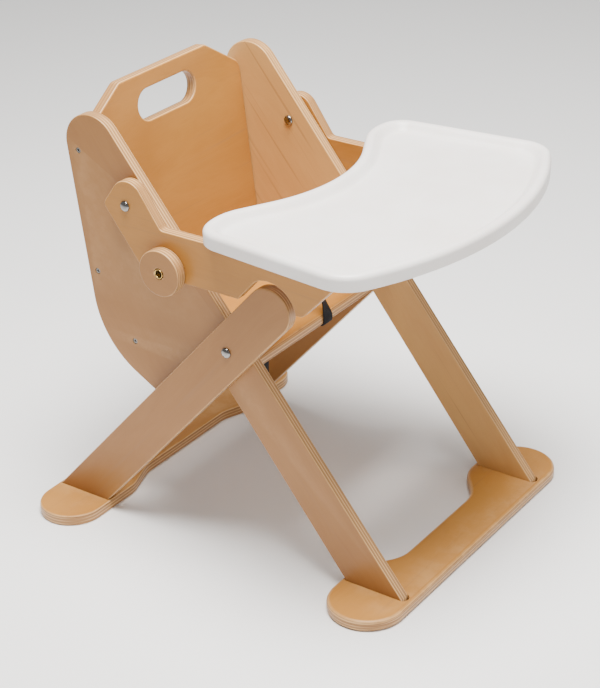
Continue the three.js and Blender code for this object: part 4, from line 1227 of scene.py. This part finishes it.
def strap(name, path, width, thickness, material, nodes):
    """A flat strap swept along a path of (place, across, up) by the webbing tree."""
    tree = bpy.data.node_groups["webbing"]
    mesh = bpy.data.meshes.new(name)
    mesh.from_pydata([place for place, _, _ in path], [(i, i + 1) for i in range(len(path) - 1)], [])
    mesh.attributes.new("face_normal", "FLOAT_VECTOR", "POINT").data.foreach_set(
        "vector", [c for _, _, up in path for c in up.normalized()])
    holder = bpy.data.objects.new(name + "_path", mesh)
    bpy.context.scene.collection.objects.link(holder)
    mod = holder.modifiers.new("webbing", "NODES")
    mod.node_group = tree
    for label, value in (("Width", width), ("Thickness", thickness), ("Material", material)):
        mod[socket_id(tree, label)] = value
    evaluated = holder.evaluated_get(bpy.context.evaluated_depsgraph_get())
    final = bpy.data.meshes.new_from_object(evaluated)
    final.name = name
    if not final.polygons:
        raise RuntimeError(f"{name} came out empty")
    final.shade_smooth()
    final.set_sharp_from_angle(angle=math.radians(50))
    obj = bpy.data.objects.new(name, final)
    bpy.context.scene.collection.objects.link(obj)
    bpy.data.objects.remove(holder)
    give(obj, BODY, "black_webbing", *nodes)
    return obj


class HIGHCHAIR_OT_straps(ChairStep, bpy.types.Operator):
    """Lays the crotch strap over the seat's front edge and hangs the loose strap end under the seat"""
    bl_idname = "highchair.straps"
    bl_label = "Webbing"

    def execute(self, context):
        sizes = context.scene.chair_sizes
        width, thick = sizes.webbing_width, sizes.webbing_thickness
        material = woven_strap()
        x_axis = Vector((1, 0, 0))
        nose_y, under_z, top_z = SEAT_FRONT, SEAT_HEIGHT, SEAT_HEIGHT + PLY / MM
        lean = math.radians(18)
        gap = 0.5 + thick / MM / 2
        drawn = [(nose_y + 42, under_z - gap - 2.2)] + [(nose_y + 42 - 6 * k, under_z - gap - 2.2 + 0.31 * k)
                                                       for k in range(1, 7)]
        drawn += [(p.x, p.y) for p in arc((nose_y + 3, under_z + 3), 3 + gap, -math.pi / 2, -math.pi, 8)]
        drawn += [(nose_y - gap, under_z + 6), (nose_y - gap, top_z - 6)]
        drawn += [(nose_y - gap + 5 * (1 - math.cos(t)), top_z - 6 + 5 * math.sin(t)) for t in
                  (lean * k / 4 for k in range(1, 5))]
        start = drawn[-1]
        drawn += [(start[0] + 6 * k * math.sin(lean), start[1] + 6 * k * math.cos(lean))
                  for k in range(1, 13)]
        centres = [Vector((0, y * MM + SHIFT, z * MM)) for y, z in drawn]
        path = []
        for i, place in enumerate(centres):
            forward = centres[min(i + 1, len(centres) - 1)] - centres[max(i - 1, 0)]
            rise = max(0.0, min(1.0, (place.z / MM - top_z + 10) / 28))
            twist = Matrix.Rotation(math.radians(28) * rise * rise * (3 - 2 * rise), 3, forward.normalized())
            side = twist @ x_axis
            path.append((place, side, forward.cross(side)))
        strap("crotch_webbing", path, width, thick, material, ["crotch_strap"])
        low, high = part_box("lap_strap")
        middle = (low + high) / 2
        path = []
        for k in range(13):
            t = k / 12
            sway = 0.6 * MM * math.sin(t * 3.4)
            place = Vector((middle.x, middle.y + sway, high.z + (low.z - high.z) * t))
            path.append((place, x_axis + Vector((0, 0.10 * t, 0)), Vector((0, 1, 0))))
        strap("lap_webbing", path, width, thick, material, ["lap_strap"])
        return {"FINISHED"}


class HIGHCHAIR_OT_stage(ChairStep, bpy.types.Operator):
    """Sets the floor, the lights and the camera"""
    bl_idname = "highchair.stage"
    bl_label = "Stage"

    def light(self, name, place, target, size, power, tint):
        """Sets one square light, aimed at a point."""
        data = bpy.data.lights.new(name, "AREA")
        data.shape, data.size, data.energy, data.color = "SQUARE", size, power, tint
        obj = bpy.data.objects.new(name, data)
        bpy.context.scene.collection.objects.link(obj)
        obj.location = place
        obj.rotation_euler = (Vector(target) - Vector(place)).to_track_quat("-Z", "Y").to_euler()

    def execute(self, context):
        scene = context.scene
        mesh = bpy.data.meshes.new("floor")
        reach = 6.0
        mesh.from_pydata([(-reach, -reach, 0), (reach, -reach, 0), (reach, reach, 0), (-reach, reach, 0)],
                         [], [(0, 1, 2, 3)])
        floor = bpy.data.objects.new("floor", mesh)
        scene.collection.objects.link(floor)
        mat, tree, shader = fresh_material("pale_floor", 0.7)
        place = node(tree, "ShaderNodeTexCoord").outputs["Object"]
        shade = noise(tree, stretched(tree, place, (1.5, 1.5, 1.5)), 1.0, 2.0)
        pale = blend(tree, shade, (0.93, 0.93, 0.93, 1), (0.90, 0.90, 0.895, 1))
        tree.links.new(pale, shader.inputs["Base Color"])
        mesh.materials.append(mat)
        world = bpy.data.worlds.new("studio")
        scene.world = world
        world.use_nodes = True
        background = world.node_tree.nodes["Background"].inputs
        background["Color"].default_value = (1.0, 0.99, 0.98, 1)
        background["Strength"].default_value = 0.4
        middle = (0, 0, 0.3)
        self.light("overhead", (-0.25, -0.2, 2.5), middle, 1.2, 195, (1.0, 0.98, 0.95))
        self.light("front", (0.9, -2.8, 1.5), middle, 1.2, 16, (1.0, 0.97, 0.93))
        data = bpy.data.cameras.new("camera")
        camera = bpy.data.objects.new("camera", data)
        scene.collection.objects.link(camera)
        camera.location = (-1.77945, -1.24137, 1.34692)
        camera.rotation_euler = [math.radians(a) for a in (62.59989, 1.06176, -55.36416)]
        data.sensor_width, data.lens = 36.0, 98.3047
        scene.camera = camera
        return {"FINISHED"}


class HIGHCHAIR_PT_build(bpy.types.Panel):
    """Sizes, colours and build steps of the high chair"""
    bl_idname = "HIGHCHAIR_PT_build"
    bl_label = "High Chair"
    bl_space_type = "VIEW_3D"
    bl_region_type = "UI"
    bl_category = "High Chair"

    def draw(self, context):
        column = self.layout.column()
        for group in (context.scene.chair_sizes, context.scene.chair_finish):
            for label in group.__annotations__:
                column.prop(group, label)
        for step in STEPS:
            column.operator(step.bl_idname)


STEPS = (
    HIGHCHAIR_OT_groups, HIGHCHAIR_OT_side_panels, HIGHCHAIR_OT_back, HIGHCHAIR_OT_seat,
    HIGHCHAIR_OT_foot_boards, HIGHCHAIR_OT_rear_legs, HIGHCHAIR_OT_armrests, HIGHCHAIR_OT_knobs,
    HIGHCHAIR_OT_tray, HIGHCHAIR_OT_bolts, HIGHCHAIR_OT_screws, HIGHCHAIR_OT_straps, HIGHCHAIR_OT_stage)
CLASSES = (ChairSizes, ChairFinish, *STEPS, HIGHCHAIR_PT_build)


def register():
    """Adds the settings and the operators to Blender."""
    for cls in CLASSES:
        bpy.utils.register_class(cls)
    bpy.types.Scene.chair_sizes = PointerProperty(type=ChairSizes)
    bpy.types.Scene.chair_finish = PointerProperty(type=ChairFinish)


def unregister():
    """Takes them out again."""
    del bpy.types.Scene.chair_sizes
    del bpy.types.Scene.chair_finish
    for cls in reversed(CLASSES):
        bpy.utils.unregister_class(cls)


def main():
    """Runs every step."""
    register()
    for step in STEPS:
        family, action = step.bl_idname.split(".")
        result = getattr(getattr(bpy.ops, family), action)()
        if result != {"FINISHED"}:
            raise RuntimeError(f"{step.bl_idname} did not finish")


if __name__ == "__main__":
    main()
